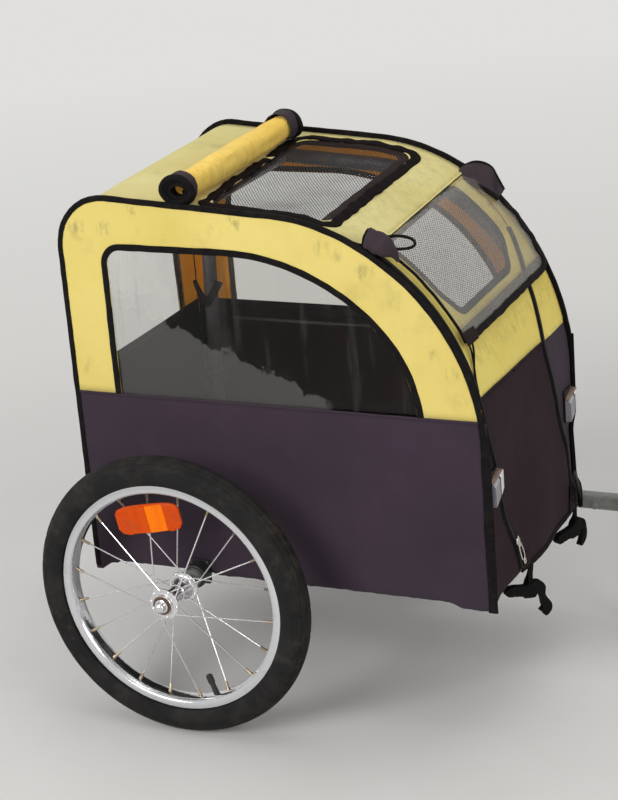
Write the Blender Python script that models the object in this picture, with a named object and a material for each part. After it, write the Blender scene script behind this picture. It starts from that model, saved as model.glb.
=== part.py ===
# A two-wheeled pet trailer for towing behind a bicycle: a fabric cabin on a tubular steel frame, with
# spoked sixteen-inch wheels, a tow arm on the left and a folding parking leg.
# Lengths are in metres. u runs forward from the axle, v to the left, h up from the ground.

import math

import bmesh
import bpy
from mathutils import Vector
from mathutils.geometry import tessellate_polygon

for old in list(bpy.data.objects):
    bpy.data.objects.remove(old, do_unlink=True)

# Clearances
GAP = 0.0003
RUNNING = 0.0003

# Wheels
WHEEL_R = 0.194
WHEEL_V = 0.256
WHEEL_STEPS = 32
TYRE_SECTION_R = 0.0215
TYRE_WALL = 0.003
RIM_EDGE_R = 0.1585
RIM_W = 0.027
RIM_DEPTH = 0.014
RIM_WALL = 0.002
RIM_SHELF = 0.0045
BEAD_T = 0.0027
TUBE_ROOM = 0.0035
VALVE_R = 0.004
VALVE_LEN = 0.042
RIM_BED_SHARE = 0.5
RIM_STEP_SHARE = 0.6
TYRE_NECK_SHARE = 0.7
WAIST_SHARE = 0.45
VALVE_ANGLE = math.radians(-70.5)
SPOKES_PER_FLANGE = 10
SPOKE_R = 0.001
SPOKE_HEAD_OUT = 0.0018
SPOKE_CIRCLE_R = 0.0185
NIPPLE_R = 0.002
NIPPLE_LEN = 0.012
NIPPLE_REACH = 0.3
FIRST_NIPPLE = math.radians(9.5)
FLANGE_R = 0.021
FLANGE_T = 0.003
FLANGE_SPAN = 0.054
HUB_W = 0.066
HUB_END_R = 0.0135
HUB_WAIST_R = 0.0115
HUB_BORE_R = 0.0085
BEARING_R = 0.0103
BEARING_W = 0.0077
AXLE_R = 0.006
AXLE_HEAD_R = 0.0095
AXLE_HEAD_T = 0.003
BUTTON_BORE_DEPTH = 0.022
BUTTON_STEM_R = 0.0036
BUTTON_STEM_LEN = 0.018
BUTTON_R = 0.0075
BUTTON_TRAVEL = 0.004
BUTTON_DOME = 0.005
REFLECTOR_W = 0.100
REFLECTOR_H = 0.045
REFLECTOR_T = 0.006
REFLECTOR_OUT = 0.0145
REFLECTOR_RADIUS = 0.111
REFLECTOR_ANGLE = math.radians(101)
REFLECTOR_OUTLINE = ((0.5, 0.28), (0.38, 0.5), (-0.38, 0.5), (-0.5, 0.28), (-0.5, -0.28), (-0.38, -0.5),
                     (0.38, -0.5), (0.5, -0.28))

# Frame
RAIL_R = 0.0125
RAIL_WALL = 0.0015
RAIL_V = 0.150
RAIL_REAR_U = -0.140
RAIL_FRONT_U = 0.392
CROSS_INSET = 0.016
BEAM_W = 0.018
SOCKET_R = 0.0125
SOCKET_IN_V = 0.161
SOCKET_OUT_V = 0.207
SOCKET_FLOOR_V = 0.166
COLLAR_R = 0.0165
COLLAR_PLATE_U = 0.030
COLLAR_PLATE_H = 0.034
COLLAR_PLATE_T = 0.003
COLLAR_OUT_V = 0.199
HOOP_R = 0.010
HOOP_WALL = 0.0015
HOOP_V = 0.158
HOOP_INSET = 0.030
BOW_U = 0.010
FLOOR_V = 0.146
FLOOR_T = 0.005
FLOOR_REAR_U = -0.148
FLOOR_FRONT_U = 0.398

# Cabin fabric. The profile is the outer edge of the bound side panels.
CABIN_V = 0.176
CABIN_REAR_U = -0.162
CABIN_BOTTOM_H = 0.190
BINDING = 0.006
PANEL_T = 0.003
SKIN_T = 0.002
REAR_CORNER_R = 0.072
ROOF_PITCH = 0.065
FRONT_CENTRE_U = 0.130
FRONT_CENTRE_H = 0.390
FRONT_RADIUS_U = 0.285
FRONT_RADIUS_H = 0.310
CORNER_STEPS = 5
FRONT_STEPS = 12
STRAIGHT_STEPS = 6
ROOF_REAR_HEM = 0.006
HEM_U = 0.272
HEM_GAP = 0.002

# Side window, with the same kind of outline as the cabin and a margin of fabric round it
WINDOW_REAR_MARGIN = 0.070
WINDOW_TOP_MARGIN = 0.058
WINDOW_FRONT_MARGIN = 0.089
WINDOW_SILL_H = 0.437
WINDOW_CORNER_R = 0.020
WINDOW_PITCH = 0.0
WINDOW_CENTRE_BACK = 0.060
WINDOW_CENTRE_LIFT = 0.030
PANE_LAP = 0.009
PANE_T = 0.0015

# Rear window
REAR_WINDOW_V = 0.122
REAR_WINDOW_SILL_H = 0.462
REAR_WINDOW_DROP = 0.020
REAR_WINDOW_CORNER_R = 0.025

# Roof hatch, its net and its rolled cover
HATCH_REAR_U = 0.046
HATCH_FRONT_U = 0.212
HATCH_RIGHT_V = -0.148
HATCH_LEFT_V = 0.142
HATCH_CORNER_R = 0.022
HATCH_CUT_DOWN = 0.05
HATCH_CUT_UP = 0.15
NET_LAP = 0.005
NET_T = 0.001
NET_BAR = 0.0024
HATCH_NET_GAPS = (6, 9)
HATCH_NET_SAG = 0.010
ROLL_U = 0.030
ROLL_RIGHT_V = -0.168
ROLL_LEFT_V = 0.132
ROLL_R = 0.019
ROLL_SHEET_T = 0.0022
ROLL_TURN_GAP = 0.0014
ROLL_TURNS = 2.25
ROLL_STEPS = 14
ROLL_LIFT = 0.0025

# Front door, between two zips. Each zip's route is a list of (h, v) from the hem down.
ZIP_GAP = 0.003
RIGHT_ZIP = ((0.670, -0.160), (0.530, -0.160), (0.425, -0.157), (0.360, -0.134), (0.295, -0.1145),
             (0.260, -0.0965), (0.235, -0.082), (0.170, -0.058))
LEFT_ZIP = ((0.670, 0.160), (0.600, 0.146), (0.560, 0.124), (0.530, 0.104), (0.460, 0.084), (0.420, 0.087),
            (0.365, 0.108), (0.315, 0.126), (0.262, 0.149), (0.170, 0.164))
DOOR_WINDOW_DROP = 0.009
DOOR_WINDOW_TALL = 0.087
DOOR_WINDOW_TOP_V = (-0.124, 0.112)
DOOR_WINDOW_SILL_V = (-0.104, 0.074)
DOOR_WINDOW_SHOULDER = 0.3
DOOR_CUT_BACK = 0.05
DOOR_NET_GAPS = (4, 8)
COVER_T = 0.0015
COVER_LIFT = 0.008
COVER_RIGHT_V = -0.152
COVER_LEFT_V = 0.166
COVER_DROP = 0.122

# Front reflectors, hooks and zip pulls
LAMP_V = 0.152
LAMP_H = 0.343
LAMP_T = 0.010
LAMP_W = 0.028
LAMP_TALL = 0.042
LAMP_BEVEL = 0.004
HOOK_RIGHT_V = -0.050
HOOK_LEFT_V = 0.142
HOOK_RIGHT_TWIST = math.radians(48)
HOOK_LEFT_TWIST = math.radians(72)
HOOK_OUT = 0.004
HOOK_STRAP_W = 0.016
HOOK_STRAP_T = 0.002
HOOK_STRAP_LEN = 0.026
HOOK_BAR_BACK = 0.038
HOOK_BAR_FRONT = 0.016
HOOK_BAR_W = 0.013
HOOK_BAR_T = 0.010
HOOK_CURL_R = 0.0045
HOOK_CURL = ((0.008, 0.0), (0.020, -0.001), (0.029, -0.008), (0.034, -0.022), (0.0355, -0.040),
             (0.028, -0.051), (0.019, -0.046))
PULL_RIGHT_V = -0.082
PULL_RIGHT_H = 0.236
PULL_LEFT_V = 0.150
PULL_LEFT_H = 0.232
PULL_LEN = 0.040
PULL_W = 0.009
PULL_T = 0.002
PULL_TILT = math.radians(24)

# Tow gear
ARM_V = 0.200
ARM_H = 0.183
ARM_R = 0.0125
ARM_WALL = 0.002
SOCKET_TUBE_REAR_U = 0.090
CROSS_BOLT_U = 0.432
CROSS_BOLT_DROP = 0.003
CROSS_BOLT_R = 0.004
CROSS_BOLT_PROUD = 0.002
CLAMP_REAR_U = 0.130
CLAMP_FRONT_U = 0.300
CLAMP_T = 0.004
CLAMP_WALL = 0.0037
CLAMP_STEP_V = 0.180
HINGE_U = 0.530
FORK_W = 0.028
FORK_TALL = 0.032
FORK_BACK = 0.0395
FORK_FRONT = 0.020
SLOT_BACK = 0.022
TONGUE_T = 0.0165
TONGUE_W = 0.025
HINGE_BOLT_R = 0.005
BOLT_HEAD_R = 0.009
BOLT_HEAD_T = 0.006
KNOB_R = 0.017
KNOB_LOBES = 5
KNOB_WAVE = 0.12
KNOB_T = 0.014
ARM_START = 0.030
ARM_STRAIGHT = 0.090
ARM_BEND_R = 0.120
ARM_BEND = math.radians(35)
ARM_BEND_STEPS = 4
ARM_RISE = 0.140
ARM_END = 0.030
EYE_REACH = 0.018
EYE_R = 0.012
EYE_T = 0.016
EYE_BOLT_R = 0.004
CLAW_T = 0.004
CLAW_W = 0.026
CLAW_THROAT = 0.0155
CLAW_OVERLAP = 0.3
JAW_GAP = 0.018
JAW_LEN = 0.034
HITCH_PIN_R = 0.004
HITCH_PIN_SET = 0.020
HITCH_PIN_PROUD = 0.006
HITCH_PIN_HEAD_R = 0.010
HITCH_PIN_HEAD_T = 0.005
LEG_U = 0.480
LEG_BLOCK_U = 0.018
LEG_BLOCK_V = 0.034
LEG_PIVOT_DROP = 0.030
LEG_PIN_R = 0.004
LEG_R = 0.009
LEG_WALL = 0.0015
LEG_TOP = 0.006
LEG_RAKE = math.radians(5)
FOOT_R = 0.0145
FOOT_T = 0.012

# Spare length that a cutter has beyond what it cuts, and how deep a joined piece sits in the other
CUTTER_REACH = 0.01
JOINT_DEPTH = 0.006
PEG_INSET = 0.002

# Worked out from the dimensions above
AXLE_H = WHEEL_R
HANGING_GAP = 4 * GAP
NOTCH_GAP = 4 * RUNNING
RAIL_H = AXLE_H + BEAM_W / 2 + RAIL_R + GAP
RAIL_TOP_H = RAIL_H + RAIL_R + GAP
PANEL_IN_V = CABIN_V - PANEL_T
SKIN_V = PANEL_IN_V - GAP
HITCH_H = ARM_H + ARM_RISE
ARM_BEND_RUN = (2 * ARM_BEND_R * math.sin(ARM_BEND)
                + (ARM_RISE - 2 * ARM_BEND_R * (1 - math.cos(ARM_BEND))) / math.tan(ARM_BEND))
ARM_TIP_U = HINGE_U + ARM_START + ARM_STRAIGHT + ARM_BEND_RUN + ARM_END
EYE_U = ARM_TIP_U + EYE_REACH
CLAW_TIP_U = EYE_U + CLAW_THROAT + CLAW_T + JAW_LEN
AXLE_X = (WHEEL_R - CLAW_TIP_U) / 2
LEG_PIVOT_H = ARM_H - LEG_PIVOT_DROP


# Materials

def paint(name, colour, roughness, metallic=0.0, alpha=1.0):
    material = bpy.data.materials.new(name)
    material.use_nodes = True
    shader = material.node_tree.nodes["Principled BSDF"]
    shader.inputs["Base Color"].default_value = (*colour, 1.0)
    shader.inputs["Roughness"].default_value = roughness
    shader.inputs["Metallic"].default_value = metallic
    shader.inputs["Alpha"].default_value = alpha
    return material


TYRE_RUBBER = paint("tyre_rubber", (0.02, 0.02, 0.02), 0.8)
BUTYL = paint("butyl_rubber", (0.03, 0.03, 0.03), 0.6)
CHROME = paint("chrome", (0.75, 0.75, 0.76), 0.12, 1.0)
SPOKE_STEEL = paint("spoke_steel", (0.6, 0.6, 0.6), 0.3, 1.0)
BEARING_STEEL = paint("bearing_steel", (0.25, 0.23, 0.21), 0.4, 1.0)
FRAME_GREY = paint("frame_grey", (0.35, 0.36, 0.36), 0.45, 0.2)
BLACK_STEEL = paint("black_steel", (0.03, 0.03, 0.03), 0.5, 0.3)
BLACK_PLASTIC = paint("black_plastic", (0.015, 0.015, 0.015), 0.5)
ORANGE_LENS = paint("orange_lens", (0.9, 0.2, 0.01), 0.2)
CLEAR_LENS = paint("clear_lens", (0.75, 0.75, 0.75), 0.15)
YELLOW_FABRIC = paint("yellow_fabric", (0.85, 0.72, 0.2), 0.8)
ROOF_FABRIC = paint("roof_fabric", (0.72, 0.70, 0.3), 0.8)
GOLD_FABRIC = paint("gold_fabric", (0.75, 0.45, 0.06), 0.8)
DARK_FABRIC = paint("dark_fabric", (0.05, 0.035, 0.05), 0.85)
CLEAR_VINYL = paint("clear_vinyl", (0.8, 0.8, 0.8), 0.1, 0.0, 0.3)
BLACK_NET = paint("black_net", (0.02, 0.02, 0.02), 0.9)
FLOOR_BOARD = paint("floor_board", (0.04, 0.04, 0.045), 0.7)

# The whole trailer hangs from this empty, on the ground under the middle of the axle
datum = bpy.data.objects.new("trailer_datum", None)
datum.location = (AXLE_X, 0, 0)
bpy.context.scene.collection.objects.link(datum)

FORWARD = Vector((1, 0, 0))
LEFTWARD = Vector((0, 1, 0))
UPWARD = Vector((0, 0, 1))
SHARP_EDGE = math.radians(35)


# Making objects

def place(name, shape, material, origin=(0, 0, 0)):
    """Adds a piece whose shape is given about the datum, and puts its origin at the given point."""
    bmesh.ops.recalc_face_normals(shape, faces=shape.faces)
    bmesh.ops.translate(shape, verts=shape.verts, vec=-Vector(origin))
    mesh = bpy.data.meshes.new(name)
    shape.to_mesh(mesh)
    shape.free()
    mesh.shade_smooth()
    mesh.set_sharp_from_angle(angle=SHARP_EDGE)
    mesh.materials.append(material)
    piece = bpy.data.objects.new(name, mesh)
    piece.parent = datum
    piece.location = origin
    bpy.context.scene.collection.objects.link(piece)
    return piece


def combine(piece, operation, *shapes):
    """Cuts the shapes out of a piece, or joins them to it, each through a hidden guide."""
    for number, shape in enumerate(shapes):
        label = f"{piece.name}_{operation.lower()}_{len(piece.modifiers) + number}"
        guide = place(label, shape, piece.data.materials[0])
        guide.hide_render = True
        guide.display_type = "WIRE"
        step = piece.modifiers.new(label, "BOOLEAN")
        step.operation = operation
        step.solver = "EXACT"
        step.object = guide


def cut(piece, *shapes):
    combine(piece, "DIFFERENCE", *shapes)


def join(piece, *shapes):
    combine(piece, "UNION", *shapes)


# Making shapes

def loft(rings, closed=False):
    """Joins rings of points. A closed loft returns to its first ring, and an open one has flat ends."""
    shape = bmesh.new()
    rows = [[shape.verts.new(point) for point in ring] for ring in rings]
    count = len(rows[0])
    pairs = list(zip(rows, rows[1:]))
    if closed:
        pairs.append((rows[-1], rows[0]))
    for here, there in pairs:
        for i in range(count):
            j = (i + 1) % count
            shape.faces.new((here[i], here[j], there[j], there[i]))
    if not closed:
        shape.faces.new(rows[0])
        shape.faces.new(rows[-1])
    return shape


def circle(centre, along, side, radius, sides):
    across = along.cross(side).normalized()
    ring = []
    for k in range(sides):
        angle = 2 * math.pi * k / sides
        ring.append(centre + side * (radius * math.cos(angle)) + across * (radius * math.sin(angle)))
    return ring


def turned(start, along, stations, sides=16):
    """A solid turned about a line, from (distance, radius) stations."""
    side = UPWARD if abs(along.z) < 0.5 else LEFTWARD
    side = (side - along * side.dot(along)).normalized()
    return loft([circle(start + along * reach, along, side, radius, sides) for reach, radius in stations])


def rod(start, end, radius, sides=12):
    line = Vector(end) - Vector(start)
    return turned(Vector(start), line.normalized(), ((0, radius), (line.length, radius)), sides)


def path_rings(points, side, radius, sides):
    rings = []
    for k, point in enumerate(points):
        ahead = points[min(k + 1, len(points) - 1)] - points[max(k - 1, 0)]
        rings.append(circle(point, ahead.normalized(), side, radius, sides))
    return rings


def tube(points, side, radius, wall, sides=12):
    """A hollow tube with open ends along a flat path; side is square to the path."""
    points = [Vector(p) for p in points]
    outer = path_rings(points, side, radius, sides)
    inner = path_rings(points, side, radius - wall, sides)
    return loft(outer + inner[::-1], closed=True)


def block(low, high):
    (a, b, c), (d, e, f) = low, high
    lower = [Vector(p) for p in ((a, b, c), (d, b, c), (d, e, c), (a, e, c))]
    return loft([lower, [Vector((p.x, p.y, f)) for p in lower]])


def plate(outline, axis, low, high, holes=()):
    """A flat plate with holes. Its outline is (u, h) for axis v, (v, h) for axis u, (u, v) for axis h."""
    def lift(point, level):
        a, b = point
        return {"u": (level, a, b), "v": (a, level, b), "h": (a, b, level)}[axis]
    loops = [list(outline)] + [list(hole) for hole in holes]
    shape = bmesh.new()
    levels = [[[shape.verts.new(lift(p, level)) for p in loop] for loop in loops] for level in (low, high)]
    faces = tessellate_polygon([[Vector((*p, 0)) for p in loop] for loop in loops])
    for level in levels:
        flat = [vert for loop in level for vert in loop]
        for corners in faces:
            shape.faces.new([flat[i] for i in corners])
    for below, above in zip(*levels):
        for i in range(len(below)):
            j = (i + 1) % len(below)
            shape.faces.new((below[i], below[j], above[j], above[i]))
    return shape


def arc(centre, radius, start, end, steps):
    angles = (start + (end - start) * k / steps for k in range(steps + 1))
    return [(centre[0] + radius * math.cos(a), centre[1] + radius * math.sin(a)) for a in angles]


def disc(centre, radius, sides=16):
    return arc(centre, radius, 0, 2 * math.pi, sides)[:-1]


def rounded(low, high, radius, steps=4):
    """A rectangle with round corners, as points anticlockwise."""
    (a, b), (c, d) = low, high
    corners = ((c - radius, b + radius), (c - radius, d - radius), (a + radius, d - radius),
               (a + radius, b + radius))
    points = []
    for k, centre in enumerate(corners):
        points += arc(centre, radius, math.pi / 2 * (k - 1), math.pi / 2 * k, steps)
    return points


def ribbon(outer, inner, right, left, columns=1):
    """A bent sheet between two profiles of (u, h) points, from v = right(h) to v = left(h)."""
    shape = bmesh.new()
    grids = []
    for profile in (outer, inner):
        grid = []
        for (u, h), (_, edge_h) in zip(profile, outer):
            start, end = right(edge_h), left(edge_h)
            row = [start + (end - start) * k / columns for k in range(columns + 1)]
            grid.append([shape.verts.new((u, v, h)) for v in row])
        grids.append(grid)
    top, under = grids
    for grid in grids:
        for here, there in zip(grid, grid[1:]):
            for k in range(columns):
                shape.faces.new((here[k], here[k + 1], there[k + 1], there[k]))
    for k in range(columns):
        for row in (0, -1):
            shape.faces.new((top[row][k], top[row][k + 1], under[row][k + 1], under[row][k]))
    for i in range(len(outer) - 1):
        for column in (0, columns):
            shape.faces.new((top[i][column], top[i + 1][column], under[i + 1][column], under[i][column]))
    return shape


def net(point, gaps, length, width):
    """A flat net of bars round rectangular gaps. point(a, b, side) gives a place on either face."""
    def lines(count, size):
        bar = NET_BAR / size
        gap = (1 - bar * (count + 1)) / count
        marks = []
        for k in range(count + 1):
            start = k * (bar + gap)
            marks += [start, start + bar]
        return marks
    rows, columns = lines(gaps[0], length), lines(gaps[1], width)
    shape = bmesh.new()
    sides = [[[shape.verts.new(point(a, b, side)) for b in columns] for a in rows] for side in (0, 1)]
    open_cell = {(i, j) for i in range(1, len(rows) - 1, 2) for j in range(1, len(columns) - 1, 2)}
    outside = set()
    for i in range(-1, len(rows)):
        outside |= {(i, -1), (i, len(columns) - 1)}
    for j in range(-1, len(columns)):
        outside |= {(-1, j), (len(rows) - 1, j)}
    solid = [(i, j) for i in range(len(rows) - 1) for j in range(len(columns) - 1) if (i, j) not in open_cell]
    for grid in sides:
        for i, j in solid:
            shape.faces.new((grid[i][j], grid[i][j + 1], grid[i + 1][j + 1], grid[i + 1][j]))
    for i, j in solid:
        edges = (((i - 1, j), (i, j), (i, j + 1)), ((i + 1, j), (i + 1, j), (i + 1, j + 1)),
                 ((i, j - 1), (i, j), (i + 1, j)), ((i, j + 1), (i, j + 1), (i + 1, j + 1)))
        for beyond, (a, b), (c, d) in edges:
            if beyond in open_cell or beyond in outside:
                shape.faces.new((sides[0][a][b], sides[0][c][d], sides[1][c][d], sides[1][a][b]))
    return shape


# The cabin's profile

def corner_height(rear_u, corner_r, pitch, centre_u, centre_h, radius_u, radius_h):
    """Height of the rear corner's centre, which puts the corner and the front's curve on one top line."""
    lean_u, lean_h = math.sin(pitch), math.cos(pitch)
    reach = lean_u * centre_u + lean_h * centre_h + math.hypot(radius_u * lean_u, radius_h * lean_h)
    return (reach - corner_r - lean_u * (rear_u + corner_r)) / lean_h


def outline(shape, inset, start_h, end_h):
    """Points (u, h) up the rear edge, round its corner, along the top, round the front and down."""
    rear_u, corner_r, pitch, centre_u, centre_h, radius_u, radius_h = shape
    lean_u, lean_h = math.sin(pitch), math.cos(pitch)
    corner_u = rear_u + corner_r
    corner_h = corner_height(*shape)
    a, b = radius_u - inset, radius_h - inset
    points = [(rear_u + inset, start_h)]
    points += arc((corner_u, corner_h), corner_r - inset, math.pi, math.pi / 2 - pitch, CORNER_STEPS)
    first = math.atan2(b * lean_h, a * lean_u)
    last = 0.0 if end_h <= centre_h else math.asin((end_h - centre_h) / b)
    for k in range(FRONT_STEPS + 1):
        angle = first + (last - first) * k / FRONT_STEPS
        points.append((centre_u + a * math.cos(angle), centre_h + b * math.sin(angle)))
    if end_h < centre_h:
        points.append((centre_u + a, end_h))
    return points


CABIN_SHAPE = (CABIN_REAR_U, REAR_CORNER_R, ROOF_PITCH, FRONT_CENTRE_U, FRONT_CENTRE_H, FRONT_RADIUS_U,
               FRONT_RADIUS_H)
WINDOW_CENTRE_U = FRONT_CENTRE_U - WINDOW_CENTRE_BACK
WINDOW_CENTRE_H = FRONT_CENTRE_H + WINDOW_CENTRE_LIFT
WINDOW_SHAPE = (CABIN_REAR_U + WINDOW_REAR_MARGIN, WINDOW_CORNER_R, WINDOW_PITCH, WINDOW_CENTRE_U,
                WINDOW_CENTRE_H, FRONT_CENTRE_U + FRONT_RADIUS_U - WINDOW_FRONT_MARGIN - WINDOW_CENTRE_U,
                FRONT_CENTRE_H + FRONT_RADIUS_H - WINDOW_TOP_MARGIN - WINDOW_CENTRE_H)
ROOF_REAR_H = corner_height(*CABIN_SHAPE) - ROOF_REAR_HEM


def front_angle(u):
    """Where on the front's quarter ellipse the fabric's outer face stands at u."""
    return math.acos((u - FRONT_CENTRE_U) / (FRONT_RADIUS_U - BINDING))


HEM_ANGLE = front_angle(HEM_U)
HEM_H = FRONT_CENTRE_H + (FRONT_RADIUS_H - BINDING) * math.sin(HEM_ANGLE)
FRONT_FACE_U = FRONT_CENTRE_U + FRONT_RADIUS_U - BINDING
DOOR_WINDOW_TOP_H = HEM_H - DOOR_WINDOW_DROP
DOOR_WINDOW_SILL_H = DOOR_WINDOW_TOP_H - DOOR_WINDOW_TALL


def roof_h(u, inset):
    """Height of the roof at u, on the pitched top or the front's curve."""
    a, b = FRONT_RADIUS_U - inset, FRONT_RADIUS_H - inset
    lean_u, lean_h = math.sin(ROOF_PITCH), math.cos(ROOF_PITCH)
    span = math.hypot(a * lean_u, b * lean_h)
    touch_u = FRONT_CENTRE_U + a * a * lean_u / span
    if u > touch_u:
        return FRONT_CENTRE_H + b * math.sqrt(1 - ((u - FRONT_CENTRE_U) / a) ** 2)
    return (lean_u * (FRONT_CENTRE_U - u) + lean_h * FRONT_CENTRE_H + span) / lean_h


def front_profile(inset, top_angle, bottom_h):
    """Points (u, h) from an angle on the front's curve down to a height."""
    a, b = FRONT_RADIUS_U - inset, FRONT_RADIUS_H - inset
    last = 0.0 if bottom_h <= FRONT_CENTRE_H else math.asin((bottom_h - FRONT_CENTRE_H) / b)
    points = []
    for k in range(FRONT_STEPS + 1):
        angle = top_angle + (last - top_angle) * k / FRONT_STEPS
        points.append((FRONT_CENTRE_U + a * math.cos(angle), FRONT_CENTRE_H + b * math.sin(angle)))
    if bottom_h < FRONT_CENTRE_H:
        drop = FRONT_CENTRE_H - bottom_h
        points += [(FRONT_CENTRE_U + a, FRONT_CENTRE_H - drop * (k + 1) / STRAIGHT_STEPS)
                   for k in range(STRAIGHT_STEPS)]
    return points


def along_route(route):
    """Reads v at a height off a zip's route."""
    def read(h):
        for (high, v_high), (low, v_low) in zip(route, route[1:]):
            if low <= h <= high:
                return v_low + (v_high - v_low) * (h - low) / (high - low)
        return route[0][1] if h > route[0][0] else route[-1][1]
    return read


right_zip = along_route(RIGHT_ZIP)
left_zip = along_route(LEFT_ZIP)


# Wheels

def wheel_lathe(profile, v, sides):
    """Turns a closed (across, radius) profile about the axle."""
    rings = []
    for k in range(sides):
        angle = 2 * math.pi * k / sides - math.pi / 2
        rings.append([Vector((r * math.cos(angle), v + y, AXLE_H + r * math.sin(angle))) for y, r in profile])
    return loft(rings, closed=True)


def radial(angle):
    return Vector((math.cos(angle), 0, math.sin(angle)))


def make_tyre(name, v, centre):
    ring_r = WHEEL_R - TYRE_SECTION_R
    lip_r = RIM_EDGE_R + 2 * GAP
    bead_y = RIM_W / 2 - RIM_WALL - GAP
    foot_r = RIM_EDGE_R - RIM_DEPTH + RIM_WALL + RIM_SHELF - GAP * 2
    inner_r = TYRE_SECTION_R - TYRE_WALL
    floor_r = lip_r + TYRE_NECK_SHARE * TYRE_WALL
    outer_end = math.asin((lip_r - ring_r) / TYRE_SECTION_R)
    inner_end = math.asin((floor_r - ring_r) / inner_r)
    profile = arc((0, ring_r), TYRE_SECTION_R, outer_end, math.pi - outer_end, 8)
    profile += [(-bead_y, lip_r), (-bead_y, foot_r), (BEAD_T - bead_y, foot_r), (BEAD_T - bead_y, floor_r)]
    profile += arc((0, ring_r), inner_r, math.pi - inner_end, inner_end, 5)
    profile += [(bead_y - BEAD_T, floor_r), (bead_y - BEAD_T, foot_r), (bead_y, foot_r), (bead_y, lip_r)]
    return place(name, wheel_lathe(profile, v, WHEEL_STEPS), TYRE_RUBBER, centre)


def make_rim(name, v, centre):
    edge_y = RIM_W / 2
    wall_y = edge_y - RIM_WALL
    back_r = RIM_EDGE_R - RIM_DEPTH
    well_r = back_r + RIM_WALL
    shelf_r = well_r + RIM_SHELF - 3 * GAP
    step_y, bed_y = RIM_STEP_SHARE * edge_y, RIM_BED_SHARE * edge_y
    profile = [(-edge_y, RIM_EDGE_R), (-wall_y, RIM_EDGE_R), (-wall_y, shelf_r), (-step_y, shelf_r),
               (-bed_y, well_r), (bed_y, well_r), (step_y, shelf_r), (wall_y, shelf_r),
               (wall_y, RIM_EDGE_R), (edge_y, RIM_EDGE_R), (edge_y, shelf_r - RIM_WALL), (step_y, back_r),
               (-step_y, back_r), (-edge_y, shelf_r - RIM_WALL)]
    rim = place(name, wheel_lathe(profile, v, WHEEL_STEPS), CHROME, centre)
    out = radial(VALVE_ANGLE)
    hub = Vector((0, v, AXLE_H))
    start, end = hub + out * (back_r - CUTTER_REACH), hub + out * (well_r + CUTTER_REACH)
    cut(rim, rod(start, end, VALVE_R + 2 * RUNNING))
    return rim


def make_inner_tube(name, v, centre):
    ring_r = WHEEL_R - TYRE_SECTION_R
    ring = disc((0, ring_r), TYRE_SECTION_R - TYRE_WALL - TUBE_ROOM, 6)
    inner_tube = place(name, wheel_lathe(ring, v, WHEEL_STEPS), BUTYL, centre)
    out = radial(VALVE_ANGLE)
    hub = Vector((0, v, AXLE_H))
    join(inner_tube, rod(hub + out * (RIM_EDGE_R - VALVE_LEN), hub + out * ring_r, VALVE_R, 8))
    return inner_tube


def make_spoked_hub(name, v, centre):
    end_y, flange_y = HUB_W / 2, FLANGE_SPAN / 2
    face_y, back_y = flange_y + FLANGE_T / 2, flange_y - FLANGE_T / 2
    seat_y = end_y - BEARING_W - GAP
    seat_r = BEARING_R + RUNNING
    half = [(HUB_WAIST_R, WAIST_SHARE * back_y), (HUB_END_R, back_y), (FLANGE_R, back_y), (FLANGE_R, face_y),
            (HUB_END_R, face_y), (HUB_END_R, end_y), (seat_r, end_y), (seat_r, seat_y), (HUB_BORE_R, seat_y)]
    profile = [(y, r) for r, y in half] + [(-y, r) for r, y in half[::-1]]
    hub = place(name, wheel_lathe(profile, v, 16), SPOKE_STEEL, centre)
    middle = Vector((0, v, AXLE_H))
    rim_r = (RIM_EDGE_R - RIM_DEPTH) * math.cos(math.pi / WHEEL_STEPS) - NIPPLE_REACH * NIPPLE_R - 2 * GAP
    step = 2 * math.pi / SPOKES_PER_FLANGE
    spokes = bmesh.new()
    for flange, side in enumerate((1, -1)):
        for k in range(SPOKES_PER_FLANGE):
            hole = FIRST_NIPPLE + step * (k + flange / 2)
            turn, lean = (-step, 1) if k % 2 else (step, -1)
            head_y = side * flange_y + lean * SPOKE_HEAD_OUT
            start = middle + radial(hole) * SPOKE_CIRCLE_R + LEFTWARD * head_y
            end = middle + radial(hole + turn) * rim_r
            line = end - start
            reach = line.length
            stations = ((0, SPOKE_R), (reach - NIPPLE_LEN, SPOKE_R), (reach - NIPPLE_LEN, NIPPLE_R),
                        (reach, NIPPLE_R))
            spoke = turned(start, line.normalized(), stations, 4)
            scratch = bpy.data.meshes.new("spoke")
            spoke.to_mesh(scratch)
            spoke.free()
            spokes.from_mesh(scratch)
            bpy.data.meshes.remove(scratch)
    join(hub, spokes)
    return hub


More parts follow.
